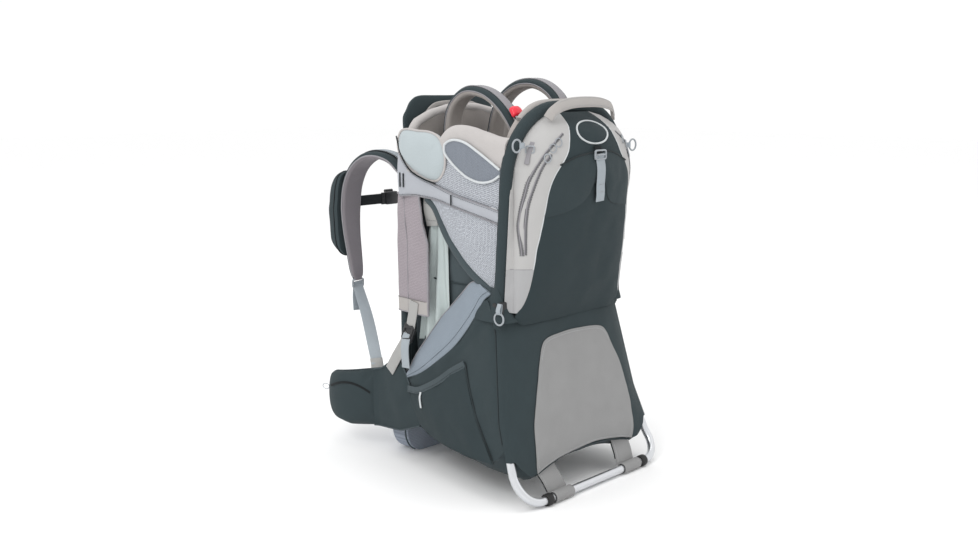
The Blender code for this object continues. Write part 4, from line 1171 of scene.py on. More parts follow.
TRIM = [(0.095, 0.372), (0.112, 0.378), (0.131, 0.386), (0.159, 0.401), (0.189, 0.421), (0.219, 0.449),
        (0.241, 0.473), (0.257, 0.497), (0.270, 0.520), (0.285, 0.540)]


def side_wall(side, s):
    """The mesh wall, the padded roll on its rim, the crescent pocket and the band over the cockpit rail."""
    y = np.linspace(0.098, 0.284, 40)
    t = np.linspace(0, 1, 22)[:, None]
    x = 0.1622 + 0.0045 * np.sin(t * math.pi) * np.sin(np.linspace(0.3, 2.8, 40))[None] + 0.004 * t
    g = wall(s * x, y, at(TRIM, y), at(BAND_LOW, y) + 0.004, t)
    made = sheet(f"side_mesh_{side}", g, SIDE_MESH, 0.003, side=-s, crumple=0.0014, seed=20 + s)
    if s < 0:
        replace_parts(made, "cockpit_liner")
    # above the band, up to the roll
    y = np.linspace(0.098, 0.350, 44)
    x = 0.1660 + 0.0030 * np.sin(t * math.pi)
    g = wall(s * x, y, at(BAND_TOP, y) - 0.006, at(ROLL_LOW, y) + 0.002, t)
    sheet(f"upper_mesh_{side}", g, SIDE_MESH, 0.003, side=-s, crumple=0.0012, seed=22 + s)
    # the padded roll: up the outer face, over the rim and down inside
    y = np.concatenate([np.linspace(0.092, 0.24, 26), np.linspace(0.246, 0.355, 22)])
    rows, radius = [], 0.0165
    for yy in y:
        top, low = float(at(RIM_TOP, yy)), float(at(ROLL_LOW, yy))
        line = [(0.1682, low - 0.001), (0.1690, low + (top - low) * 0.35)]
        line += [(0.1520 + radius * math.cos(a), top - radius + radius * math.sin(a))
                 for a in np.linspace(0, math.pi, 15)]
        line += [(0.1352, top - 0.030), (0.1345, top - 0.045)]
        flat = spaced(line, 26)
        rows.append(np.stack([s * flat[:, 0], 0 * flat[:, 0] + yy, flat[:, 1]], 1))
    g = np.array(rows).transpose(1, 0, 2)
    roll = sheet(f"rim_roll_{side}", g, ROLL, 0.004, side=-s, crumple=0.0018, seed=24 + s)
    t = np.linspace(0, 1, 18)[:, None]
    g = wall(s * (0.1350 - 0.004 * np.sin(t * math.pi)), y, at(RIM_TOP, y) - 0.040, 0.400 + 0 * y, t)
    lining = sheet(f"side_lining_{side}", g, LINING, 0.004, side=s, crumple=0.0022, seed=26 + s)
    crescent(side, s)
    band(side, s)


def crescent(side, s):
    """The crescent pocket on the wall, pleated, with a pale piped edge."""
    high = curve([(0.241, 0.652), (0.230, 0.659), (0.211, 0.662), (0.185, 0.657), (0.156, 0.643),
                  (0.128, 0.628), (0.100, 0.612)], 48)
    low = curve([(0.241, 0.652), (0.240, 0.637), (0.223, 0.620), (0.200, 0.604), (0.178, 0.593),
                 (0.149, 0.587), (0.121, 0.591), (0.100, 0.602)], 48)
    g = coons(low, high, np.array([low[0], high[0]]), np.array([low[-1], high[-1]]), 20, 48)
    rise = dome(20, 48)
    pleat = 0.0010 * np.sin(g[..., 0] * 420 + 8 * g[..., 1]) * rise
    cloth = at_x(s * (0.1712 + 0.0035 * rise + pleat), g)
    sheet(f"crescent_pocket_{side}", cloth, POCKET_MESH, 0.0015, side=s)
    for name, line in (("upper", high), ("lower", low)):
        round_tube(f"crescent_{name}_piping_{side}", at_x(s * 0.1722, line), 0.0024, PALE_EDGE, sides=10)


def band(side, s):
    """The cloth band round the cockpit rail, with its webbing slots."""
    y = np.concatenate([np.linspace(0.096, 0.330, 40), np.linspace(0.336, 0.368, 8)])
    t = np.linspace(0, 1, 11)[:, None]
    rail = 0.1690 + 0.0035 * np.sin(t * math.pi)
    x = rail + np.interp(y, [0.096, 0.14, 0.30, 0.368], [0.0030, 0.0000, 0.0005, 0.0025])[None]
    g = wall(s * x, y, at(BAND_LOW, y), at(BAND_TOP, y), t)
    sheet(f"rail_band_{side}", g, BAND, 0.0028, side=-s, crumple=0.0008, seed=28 + s)
    for name, row, lift in (("low", 0, 0.003), ("high", -1, -0.003)):
        edge = g[row] + (s * 0.0008, 0, 0)
        round_tube(f"rail_band_{name}_edge_{side}", edge, 0.0011, GREY_EDGE, sides=8)
        stitches(f"rail_band_{name}_stitch_{side}", edge + (s * 0.0014, 0, lift), DARK_THREAD)
    for k, (yy, low_z, high_z) in enumerate(((0.3610, 0.566, 0.594), (0.3515, 0.566, 0.593),
                                             (0.2210, 0.540, 0.560))):
        path = [(s * 0.1757, yy, low_z), (s * 0.1757, yy, high_z)]
        strap(f"band_slot_{side}_{k}", spaced(path, 6), 0.0034, 0.0012, (0, 1, 0), BLACK_WEBBING)
    # the dark strap that runs up beside the face pad
    path = curve(mirror(s, [(0.1755, 0.262, 0.578), (0.1770, 0.295, 0.586), (0.1770, 0.330, 0.600),
                            (0.1745, 0.358, 0.628), (0.1700, 0.376, 0.664)]), 30)
    strap(f"face_pad_strap_{side}", path, 0.0034, 0.0014, (0, -0.5, 0.8), BLACK_WEBBING)


def end_walls():
    """The padded walls in front of the child and behind, and the roll along the rear hoop."""
    x = np.linspace(-0.148, 0.148, 44)
    top = np.interp(np.abs(x), [0, 0.04, 0.09, 0.13, 0.148], [0.7190, 0.7165, 0.7065, 0.6900, 0.664])

    def hung(x, top, y, bulge):
        """The lining that hangs from a rim down to the seat, in 26 rows."""
        t = np.linspace(0, 1, 26)
        return np.array([np.stack([x, y + bulge * np.sin(k * math.pi) + 0 * x, top * (1 - k) + 0.402 * k], 1)
                         for k in t])

    g = hung(x, top, 0.3530, 0.004)
    front = sheet("front_lining", g, LINING, 0.016, side=1, crumple=0.0026, seed=30)
    edge = g[0] + (0, 0.008, -0.001)
    round_tube("front_rim", edge, 0.0095, ROLL, sides=14)
    seam = g[9] + (0, -0.0012, 0)
    round_tube("front_lining_seam", seam, 0.0010, GREY_EDGE, sides=8)
    path = hoop_path(0.014, 0.020, 0.590)
    radius = 0.0095 + wrinkles(path, 0.03, 0.0008)
    path[:, 2] += 0.019 * np.clip((path[:, 2] - 0.60) / 0.1, 0, 1)
    upper = np.abs(path[:, 0]) < 0.112
    roll = round_tube("rear_rim_roll", path[upper], radius[upper], HANDLE, sides=16, up=(0, 1, 0))
    x = np.linspace(-0.142, 0.142, 40)
    half = path[::2][:len(path[::2]) // 2][::-1]
    top = np.interp(np.abs(x), np.abs(half[:, 0]), half[:, 2])
    rear = sheet("rear_lining", hung(x, top, 0.1185, 0.005), LINING, 0.014, side=-1, crumple=0.0026, seed=32)


def rounded_outline(corners, radii, count):
    """A flat outline through corners that are rounded to their radii."""
    return looped(fillet([(a, b, 0) for a, b in corners], radii)[:, :2], count)


def rounded_box(half, low, high, radii, count):
    """The outline of a rounded rectangle, as wide to the left as to the right."""
    return rounded_outline([(-half, low), (half, low), (half, high), (-half, high)], radii, count)


def face_pad(side, s):
    """The fleece pad beside the child's face, folded over the wall's rim."""
    outline = curve([(0.371, 0.672), (0.355, 0.677), (0.327, 0.675), (0.290, 0.673), (0.263, 0.664),
                     (0.247, 0.646), (0.241, 0.624), (0.246, 0.602), (0.261, 0.586), (0.280, 0.583),
                     (0.305, 0.589), (0.340, 0.607), (0.363, 0.628), (0.372, 0.650)], 90, True)

    def place(a, b, h):
        bend = -0.010 * ((b - 0.63) / 0.045) ** 2 * (1 if b > 0.63 else 0.2)
        return s * (0.1655 + h + bend), a, b

    made = pad(f"face_pad_fleece_{side}", outline, place, 0.0160, MINT, rings=12, power=2.1, back=0.0125,
               edge=0.18, seed=34 + s)
    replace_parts(made, f"face_pad_{side}")
    swollen(made, lambda p: abs(p[0]) < 0.1625)
    rim = np.array([place(a, b, 0.0052) for a, b in resized(outline, 1.012)])
    round_tube(f"face_pad_piping_{side}", rim, 0.0024, ROLL, closed=True, sides=10, up=(1, 0, 0))


def seat():
    """The child's seat cushion, the sling under it, and the crotch strap with its buckle."""
    outline = rounded_box(0.066, 0.136, 0.334, [0.02] * 4, 80)

    def quilt(a, b):
        return max(math.exp(-((b - line) / 0.004) ** 2) for line in (0.185, 0.235, 0.285))

    made = pad("seat_cushion", outline, lambda a, b, h: (a, b, 0.4005 + h), 0.0125, LINING, rings=14, power=4,
               back=0.008, quilt=quilt, edge=0.2, seed=36)
    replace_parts(made, "child_seat")
    swollen(made, lambda p: p[2] < 0.3985)
    g = np.array([[(x, y, 0.392 - 0.010 * math.sin((y - 0.108) / 0.25 * math.pi) + 0.05 * abs(x) ** 1.5)
                   for x in np.linspace(-0.147, 0.147, 30)] for y in np.linspace(0.108, 0.358, 26)])
    sheet("seat_sling", g, DARK, 0.003, side=1, crumple=0.002, seed=38)
    path = curve([(0, 0.290, 0.4100), (0, 0.2965, 0.425), (0, 0.2965, 0.447)], 14)
    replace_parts(strap("crotch_webbing", path, 0.034, 0.0034, (1, 0, 0), BLACK_WEBBING), "crotch_strap")
    carried("harness_buckle", BLACK, 0.0015)
    carried("harness_button", RED, 0.0010)


CHILD_PATHS = {"left": [(0.140, 0.628), (0.152, 0.672), (0.186, 0.716), (0.232, 0.745), (0.284, 0.748),
                        (0.322, 0.715), (0.332, 0.655), (0.326, 0.560)],
               "right": [(0.140, 0.628), (0.138, 0.690), (0.160, 0.738), (0.206, 0.763), (0.262, 0.758),
                         (0.306, 0.722), (0.326, 0.655), (0.326, 0.560)]}


def child_strap(side, s):
    """A padded shoulder strap for the child: soft side in, webbing and dark binding outside."""
    x = s * 0.060
    flat = curve(CHILD_PATHS[side], 80)
    path = at_x(x, flat)
    across = np.array([1.0, 0, 0])
    out = np.cross(unit(np.gradient(path, axis=0)), across)
    outwards = np.sign((out * (path - (x, 0.24, 0.62))).sum())
    out = out * outwards
    shape = rounded_bar(0.042, 0.0180, 0.0085, 5)
    swell = np.interp(np.arange(80), [0, 6, 74, 79], [0.7, 1, 1, 0.7])
    cover = [0 if v < 0.001 else 1 for _, v in shape]
    made = sweep(f"child_strap_pad_{side}", path, shape, across, [LINING, DARK],
                 scale=np.stack([swell ** 0.3, swell], 1),
                 face_looks=cover if outwards > 0 else [1 - k for k in cover])
    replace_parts(made, f"child_strap_{side}")
    for k, lift in enumerate((-0.0212, 0.0212)):
        edge = path + across * lift
        round_tube(f"child_strap_edge_{side}_{k}", edge, 0.0012, GREY_EDGE, sides=8, up=(1, 0, 0))
    strap(f"child_strap_webbing_{side}", (path + out * 0.0101)[6:70], 0.0215, 0.0018, across, GREY_EDGE)
    for k, lift in enumerate((-0.0095, 0.0095)):
        stitches(f"child_strap_stitch_{side}_{k}", (path + out * 0.0112 + across * lift)[8:68])
    adjuster(side, path, out)
    # webbing from the strap's lower end to the child's buckle
    down = curve([path[-3], (x * 0.97, 0.322, 0.545), (x * 0.62, 0.308, 0.510),
                  (s * 0.014, 0.2975, 0.484)], 30)
    strap(f"child_buckle_webbing_{side}", down, 0.020, 0.0018, (1, 0, 0), BLACK_WEBBING)


def adjuster(side, path, out):
    """The red ladder adjuster: a domed tab above, webbing, and a frame with two bars below."""
    index = 13
    centre, along, up = path[index], unit(path[index + 2] - path[index - 2]), out[index]
    base = centre + up * 0.0121

    def place(a, b, h):
        return base + np.array([1.0, 0, 0]) * a + along * b + up * (0.0035 + h)

    outline = rounded_outline([(-0.0155, 0.004), (0.0155, 0.004), (0.0135, 0.027), (-0.0135, 0.027)],
                              [0.004, 0.004, 0.010, 0.010], 48)
    verts, rings = [], ((1.0, -0.003), (0.97, 0.0015), (0.85, 0.0042), (0.6, 0.0058), (0.3, 0.0064))
    for r, h in rings:
        verts += [place(*p, h) for p in resized(outline, r)]
    faces = grid_faces(len(rings), 48, False, True) + fan(4 * 48, 48, len(verts))
    verts.append(place(*outline.mean(0), 0.0066))
    faces.append(tuple(range(48))[::-1])
    tab = piece(f"adjuster_tab_{side}", verts, faces, RED, sharp=40)
    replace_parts(tab, f"harness_adjuster_{side}")
    corners = [place(a, b, 0) for a, b in ((-0.0155, -0.030), (0.0155, -0.030), (0.0155, -0.010),
                                           (-0.0155, -0.010))]
    wire_loop(f"adjuster_frame_{side}", corners, 0.003, 50, 0.0026, RED, sides=10)
    bar = [place(-0.014, -0.020, 0.0005), place(0.014, -0.020, 0.0005)]
    round_tube(f"adjuster_bar_{side}", spaced(bar, 6), 0.0022, RED, sides=10)
    run = [place(0, b, h) for b, h in ((-0.034, -0.001), (-0.024, 0.003), (-0.016, 0.0032), (-0.004, 0.001),
                                       (0.006, 0.0005))]
    strap(f"adjuster_webbing_{side}", curve(run, 20), 0.022, 0.0018, (1, 0, 0), WEBBING)


def leg_lining(side, s):
    """The folded pale lining in the leg opening, and the webbing tab above it."""
    y = np.linspace(0.232, 0.322, 46)
    rows = []
    for k in range(30):
        t = k / 29
        z = 0.498 * (1 - t) + 0.262 * t
        spread = 0.55 + 0.45 * t
        yy = 0.295 + (y - 0.277) * spread + 0.012 * t
        fold = 0.0050 * np.sin((y - 0.232) * 190 + 1.8 * t) + 0.0030 * np.sin((y - 0.232) * 95 - 2.5 * t)
        rows.append(np.stack([s * (0.1500 + fold * (0.4 + 0.6 * t)), yy - 0.014, np.full(46, z)], 1))
    sheet(f"leg_lining_{side}", np.array(rows), FOLD, 0.0018, side=s, crumple=0.0015, seed=40 + s)
    path = curve(mirror(s, [(0.1590, 0.2960, 0.5480), (0.1605, 0.2940, 0.522), (0.1560, 0.2905, 0.494)]), 16)
    strap(f"leg_tab_{side}", path, 0.031, 0.0026, (0, 1, 0), PALE_WEBBING)
    for k, index in enumerate((3, 12)):
        row = path[index] + np.linspace(-0.013, 0.013, 14)[:, None] * np.array([0, 1, 0]) + (s * 0.0017, 0, 0)
        stitches(f"leg_tab_stitch_{side}_{k}", row, DARK_THREAD)
    # the seat's side cloth seen through the leg opening, given the dark slate cloth as painted shade for the
    # shadow inside the opening
    y, t = np.linspace(0.110, 0.352, 40), np.linspace(0, 1, 16)[:, None]
    low = np.interp(y, [0.11, 0.16, 0.35], [0.372, 0.365, 0.200])
    g = wall(s * (0.1405 + 0.004 * np.sin(t * math.pi)), y, 0.560 + 0 * y, low, t)
    sheet(f"seat_side_{side}", g, SLATE, 0.003, side=s, crumple=0.003, seed=42 + s)


end_walls()
seat()
for side_name, sign in SIDES.items():
    side_wall(side_name, sign)
    face_pad(side_name, sign)
    child_strap(side_name, sign)
    leg_lining(side_name, sign)


# Back panel and harness --------------------------------------------------------------------------

def back_side():
    """What lies against the wearer: the mesh back panel, the head panel above it and the yoke."""
    outline = rounded_box(0.134, 0.200, 0.616, [0.012] * 4, 120)

    def channels(a, b):
        level = [math.exp(-((b - z) / 0.005) ** 2) for z in (0.29, 0.38, 0.47)]
        return max(math.exp(-(a / 0.010) ** 2), *level)

    made = pad("back_panel_mesh", outline, lambda a, b, h: (a, 0.3930 + h, b), 0.0072, BACK_MESH, rings=22,
               power=6, back=0.0068, quilt=channels, edge=0.35, crumple=0.0003)
    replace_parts(made, "back_panel")
    outline = rounded_outline([(-0.131, 0.622), (0.131, 0.622), (0.132, 0.705), (0.104, 0.742),
                               (-0.104, 0.742), (-0.132, 0.705)], [0.01, 0.01, 0.03, 0.04, 0.04, 0.03], 110)
    made = pad("head_panel_cover", outline, lambda a, b, h: (a, 0.3970 + h, b), 0.0105, DARK, rings=12,
               power=4, back=0.0100, edge=0.3, seed=50)
    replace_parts(made, "head_panel")
    swollen(made, lambda p: p[1] < 0.3935)
    half = [(0.086, 0.690), (0.080, 0.705), (0.067, 0.717), (0.047, 0.7245)]
    loop = curve([(-x, 0.3835, z) for x, z in half] + [(0, 0.3835, 0.7270)]
                 + [(x, 0.3835, z) for x, z in half[::-1]], 50)
    strap("head_panel_loop", loop, 0.009, 0.003, (0, 0, 1), HANDLE)
    carried("harness_yoke", DARK, 0.003)


WING_PLAN = [(0.1400, 0.3892), (0.1500, 0.3875), (0.1590, 0.3842), (0.1632, 0.3755), (0.1650, 0.3550),
             (0.1690, 0.3250), (0.1712, 0.2850)]
WING_REAR = [(0.318, 0.2880), (0.345, 0.2870), (0.400, 0.2850), (0.461, 0.2860), (0.496, 0.3010),
             (0.548, 0.3120)]


def panel_wing(side, s):
    """The mesh wing round the frame's upright, with the lock and the webbing that tension it."""
    heights = np.linspace(0.318, 0.552, 44)
    full = curve([(x, y, 0) for x, y in WING_PLAN], 120)
    rows = []
    for z in heights:
        line = spaced(full[full[:, 1] >= np.interp(z, *np.array(WING_REAR).T)], 26)
        swell = 0.0025 * math.sin((z - 0.318) / 0.234 * math.pi)
        rows.append(np.stack([s * (line[:, 0] + 0.0012 + swell), line[:, 1], 0 * line[:, 1] + z], 1))
    g = np.array(rows)
    made = sheet(f"panel_wing_mesh_{side}", g, MAUVE_MESH, 0.0036, side=s, crumple=0.0014, seed=52 + s)
    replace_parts(made, f"panel_wing_{side}")
    lift = np.array([s * 0.0012, 0, 0])
    sheet(f"panel_wing_trim_{side}", g[:6] + lift, HANDLE, 0.0022, side=s)
    for name, line in (("rear", g[:, -1]), ("top", g[-1]), ("low", g[0])):
        round_tube(f"panel_wing_{name}_tape_{side}", line, 0.0019, GREY_EDGE, sides=8, up=(1, 0, 0))
    stitches(f"panel_wing_stitch_{side}", g[5, 1:-1] + lift * 1.4, DARK_THREAD)
    seam = g[:, 12] + lift * 0.6
    round_tube(f"panel_wing_seam_{side}", seam, 0.0008, GREY_EDGE, sides=6, up=(1, 0, 0))
    # webbing sewn to the wing, through the lock, and on down to the lumbar pad
    tab = curve(mirror(s, [(0.1738, 0.326, 0.342), (0.1742, 0.331, 0.315), (0.1735, 0.338, 0.290)]), 14)
    strap(f"wing_tab_{side}", tab, 0.024, 0.0024, (0, 1, 0.3), PALE_WEBBING)
    carried(f"wing_buckle_{side}", BLACK, 0.0014)
    corners = mirror(s, [(0.1762, 0.326, 0.292), (0.1762, 0.351, 0.288), (0.1762, 0.362, 0.264),
                         (0.1762, 0.338, 0.266)])
    wire_loop(f"wing_lock_{side}", corners, 0.003, 40, 0.0022, BLACK, sides=10, up=(1, 0, 0))
    down = curve(mirror(s, [(0.1745, 0.345, 0.276), (0.1735, 0.3555, 0.255), (0.1705, 0.384, 0.220),
                            (0.1662, 0.410, 0.187)]), 30)
    made = strap(f"wing_webbing_strap_{side}", down, 0.025, 0.0022, (0, 1, 0.7), PALE_WEBBING)
    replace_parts(made, f"wing_webbing_{side}")
    tail = curve(mirror(s, [(0.1760, 0.346, 0.276), (0.1785, 0.350, 0.245), (0.1770, 0.349, 0.205)]), 18)
    strap(f"wing_webbing_tail_{side}", tail, 0.022, 0.0018, (0, 1, 0.2), WEBBING)


SHOULDER = [(0.4190, 0.588), (0.450, 0.610), (0.490, 0.619), (0.532, 0.614), (0.570, 0.590), (0.594, 0.550),
            (0.602, 0.500), (0.600, 0.450), (0.592, 0.400), (0.583, 0.345)]


def shoulder_strap(side, s):
    """A padded shoulder strap: soft lining in, dark cover and webbing out, and its lock on top."""
    x = s * 0.100
    flat = curve(SHOULDER, 110)
    path = at_x(x, flat)
    across = np.array([1.0, 0, 0])
    steps = np.linspace(0, 1, 110)
    width = np.interp(steps, [0, 0.3, 0.62, 0.93, 0.97, 1], [1.02, 1.02, 0.98, 0.66, 0.56, 0.34])
    depth = np.interp(steps, [0, 0.03, 0.95, 1], [0.7, 1, 0.9, 0.55])
    shape = rounded_bar(0.052, 0.0150, 0.0072, 5)
    cover = [0 if (v + shape[(k + 1) % len(shape)][1]) > 0.004 else 1 for k, (_, v) in enumerate(shape)]
    made = sweep(f"shoulder_pad_{side}", path, shape, across, [LINER_MAUVE, DARK], "harness",
                 face_looks=cover, scale=np.stack([width, depth], 1))
    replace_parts(made, f"shoulder_strap_{side}")
    tangent = unit(np.gradient(path, axis=0))
    outside = -np.cross(tangent, across)
    for k, lift in enumerate((-1, 1)):
        edge = path + across * lift * (0.0258 * width)[:, None] - outside * 0.0012
        round_tube(f"shoulder_edge_{side}_{k}", edge[:-2], 0.0017, GREY_EDGE, "harness", sides=8,
                   up=(1, 0, 0))
    run = path + outside * 0.0089
    strap(f"shoulder_cover_webbing_{side}", run[4:64], 0.026, 0.0018, across, BLACK_WEBBING, "harness")
    load = (run + outside * 0.0014)[8:52]
    strap(f"shoulder_load_webbing_{side}", load, 0.016, 0.0014, across, WEBBING, "harness")
    for k, lift in enumerate((-0.0105, 0.0105)):
        sewn = (run + outside * 0.0011 + across * lift)[6:62]
        stitches(f"shoulder_stitch_{side}_{k}", sewn, THREAD, "harness")
    index = 56
    centre, along = path[index] + outside[index] * 0.0125, tangent[index]
    corners = [centre + across * a + along * b for a, b in ((-0.015, -0.009), (0.015, -0.009), (0.015, 0.009),
                                                            (-0.015, 0.009))]
    wire_loop(f"shoulder_lock_{side}", corners, 0.003, 40, 0.0024, GREY_NYLON, "harness", sides=10)
    bar = [centre - across * 0.0145, centre + across * 0.0145]
    round_tube(f"shoulder_lock_bar_{side}", spaced(bar, 6), 0.0020, GREY_NYLON, "harness", sides=10)
    # the tri-glide at the strap's tip and the webbing down to the hip wing
    tip = path[-1] + np.array([0, -0.001, -0.006])
    corners = [tip + (a, 0, b) for a, b in ((-0.0145, -0.008), (0.0145, -0.008), (0.0145, 0.008),
                                            (-0.0145, 0.008))]
    wire_loop(f"tip_lock_{side}", corners, 0.003, 40, 0.0022, GREY_NYLON, "harness", sides=10)
    low_end = np.array([s * 0.147, 0.470, 0.1885])
    line = curve([tip + (0, 0.0005, 0.004), tip + (s * 0.001, -0.004, -0.012), (s * 0.119, 0.530, 0.270),
                  low_end], 60)
    turn = np.linspace(0, 1, 60)
    across = np.stack([1 - 0.65 * turn, s * 0.94 * turn, 0 * turn], 1)
    made = strap(f"strap_webbing_run_{side}", line, 0.025, 0.0020, across, WEBBING, None)
    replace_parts(made, f"strap_webbing_{side}")
    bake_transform(made)
    loose = curve([tip + (0, 0.003, 0.002), tip + (0, 0.006, -0.030), tip + (s * 0.002, 0.002, -0.060)], 20)
    strap(f"tip_tail_{side}", loose, 0.021, 0.0018, (1, 0, 0), WEBBING, "harness")
    fold = curve([low_end + (0, 0.003, 0.010), low_end + (0, 0, -0.004),
                  low_end + (s * 0.003, -0.006, -0.022)], 18)
    made = strap(f"wing_tab_fold_{side}", fold, 0.029, 0.0034, (0.35, s * 0.94, 0), PALE_WEBBING, None)
    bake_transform(made)


def strap_pocket():
    """The zipped pocket on the front of the left strap."""
    outline = rounded_box(0.030, 0.398, 0.580, [0.024, 0.024, 0.018, 0.018], 96)

    def place(a, b, h):
        base = np.interp(b, [0.398, 0.45, 0.50, 0.545, 0.582], [0.6020, 0.6095, 0.6115, 0.6060, 0.5930])
        reach = np.interp(b, [0.392, 0.43, 0.50, 0.574], [0.62, 1.0, 1.04, 0.85])
        return -0.100 + a, base + (h * reach if h > 0 else h), b

    made = pad("strap_pocket_bag", outline, place, 0.042, DARK, "harness", rings=14, power=3.4, back=0.001,
               edge=0.30, crumple=0.0016, seed=54)
    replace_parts(made, "strap_pocket")
    swollen(made, lambda p: p[1] < 0.6165)
    zip_line = np.array([place(a * 0.99, b, 0.0105) for a, b in outline])
    round_tube("strap_pocket_zip", zip_line, 0.0016, DARK_ZIP, "harness", closed=True, sides=8, up=(0, 1, 0))


def sternum():
    """The sternum webbing with its buckle, and the whistle on it."""
    for node, look, bevel in (("webbing_right", BLACK_WEBBING, 0.0004),
                              ("webbing_left", BLACK_WEBBING, 0.0004),
                              ("socket", BLACK, 0.0012), ("plug", BLACK, 0.0008)):
        carried("sternum_" + node, look, bevel)
    whistle = [(0.006, 0.6095, 0.5290), (0.027, 0.6095, 0.5290)]
    round_tube("sternum_whistle", spaced(whistle, 8), 0.0036, BLACK, "harness", sides=14)


back_side()
strap_pocket()
sternum()
for side_name, sign in SIDES.items():
    panel_wing(side_name, sign)
    shoulder_strap(side_name, sign)


# Hip belt ----------------------------------------------------------------------------------------

def lumbar():
    """The lumbar pad, grooved down its middle and sides, with a piped rim."""
    outline = rounded_box(0.126, 0, 0.178, [0.045, 0.045, 0.02, 0.02], 110)

    def groove(a, b):
        return 0.5 * max(math.exp(-(a / 0.008) ** 2), math.exp(-((abs(a) - 0.065) / 0.006) ** 2))

    made = pad("lumbar_cushion", outline, lambda a, b, h: (a, 0.4024 + h, b), 0.0615, LUMBAR_MESH, rings=16,
               power=5, back=0.0004, quilt=groove, edge=0.68, crumple=0.0008, seed=60)
    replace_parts(made, "lumbar_pad")
    swollen(made, lambda p: p[1] < 0.430 or p[2] < 0.006 or abs(p[0]) < 0.006)
    rim = np.array([(a, 0.4080, b) for a, b in outline if b > 0.004])
    # the rim is open below: it starts after its widest gap
    start = int(np.argmax(np.linalg.norm(np.diff(rim, axis=0), axis=1))) + 1
    round_tube("lumbar_piping", np.roll(rim, -start, 0), 0.0018, SLATE, sides=8, up=(0, 1, 0))


HIP_PLAN = [(0.1425, 0.448), (0.153, 0.478), (0.166, 0.515), (0.172, 0.548), (0.169, 0.578),
            (0.160, 0.604)]


def hip_wing(side, s):
    """One padded wing of the belt, with its pocket's zip, and the webbing at its tip."""
    body = f"hip_{side}"
    plan = curve(HIP_PLAN, 80)
    run = np.concatenate([[0], np.linalg.norm(np.diff(plan, axis=0), axis=1).cumsum()])
    slope = unit(np.gradient(plan, axis=0))
    long = run[-1]

    def place(a, b, h):
        x, y = np.interp(a, run, plan[:, 0]), np.interp(a, run, plan[:, 1])
        nx, ny = np.interp(a, run, slope[:, 1]), -np.interp(a, run, slope[:, 0])
        return s * (x + nx * h), y + ny * h, b

    outline = rounded_outline([(0.001, 0.060), (0.085, 0.051), (long - 0.001, 0.062), (long - 0.001, 0.154),
                               (0.001, 0.182)], [0.006, 0.06, 0.044, 0.044, 0.006], 110)
    made = pad(f"hip_wing_pad_{side}", outline, place, 0.0145, DARK, body, rings=12, power=4, back=0.0125,
               edge=0.25, crumple=0.0010, seed=62 + s)
    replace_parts(made, f"hip_wing_{side}")
    swollen(made, lambda p: p[1] < 0.462, 0.0015)
    pad(f"hip_wing_mesh_{side}", resized(outline, 0.83), lambda a, b, h: place(a, b, -0.0125 + h), 0.0010,
        LUMBAR_MESH, body, rings=8, power=6, back=0.0034, edge=0.1, crumple=0.0004, seed=64 + s)
    zip_run = np.array([place(a, 0.128 + 0.016 * math.sin((a - 0.03) / 0.10 * math.pi), 0.0160)
                        for a in np.linspace(0.030, 0.130, 40)])
    strap(f"hip_zip_{side}", zip_run, 0.005, 0.0012, (0, 0, 1), DARK_ZIP, body)
    rim = np.array([place(a, b, 0.0010) for a, b in outline])
    round_tube(f"hip_piping_{side}", rim, 0.0015, SLATE, body, closed=True, sides=8, up=(1, 0, 0))
    path = [(s * 0.1625, 0.5940), (s * 0.144, 0.616), (s * 0.118, 0.629), (s * 0.0955, 0.634)]
    if side == "left":
        path[-1] = (s * 0.0860, 0.635)
    line = curve([(x, y, 0.104) for x, y in path], 40)
    made = strap(f"hip_webbing_strap_{side}", line, 0.038, 0.0024, (0, 0, 1), BLACK_WEBBING, body)
    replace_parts(made, f"hip_webbing_{side}")


def belt_side(side, s):
    """The dark cloth between the hip wing and the bag, outside the frame's upright."""
    def join(obj):
        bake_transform(obj)

    y = np.concatenate([np.linspace(0.322, 0.440, 22), np.linspace(0.443, 0.462, 6)])
    x = np.interp(y, [0.322, 0.375, 0.400, 0.430, 0.450, 0.462],
                  [0.1655, 0.1650, 0.1625, 0.1600, 0.1600, 0.1640])
    low = np.interp(y, [0.322, 0.352, 0.380, 0.420, 0.462], [0.087, 0.076, 0.066, 0.062, 0.060])
    high = np.interp(y, [0.322, 0.352, 0.366, 0.385, 0.410, 0.440, 0.462],
                     [0.140, 0.168, 0.196, 0.212, 0.206, 0.186, 0.180])
    t = np.linspace(0, 1, 22)[:, None]
    swell = 0.005 * np.sin(t * math.pi) * np.sin(np.linspace(0.3, 2.6, 28))[None]
    g = wall(s * (x[None] + swell), y, low, high, t)
    join(sheet(f"belt_side_{side}", g, DARK, 0.0022, None, side=-s, crumple=0.0022, seed=70 + s))
    for name, row in (("low", 0), ("high", -1)):
        join(round_tube(f"belt_side_{name}_edge_{side}", g[row], 0.0016, SLATE, None, sides=8, up=(1, 0, 0)))


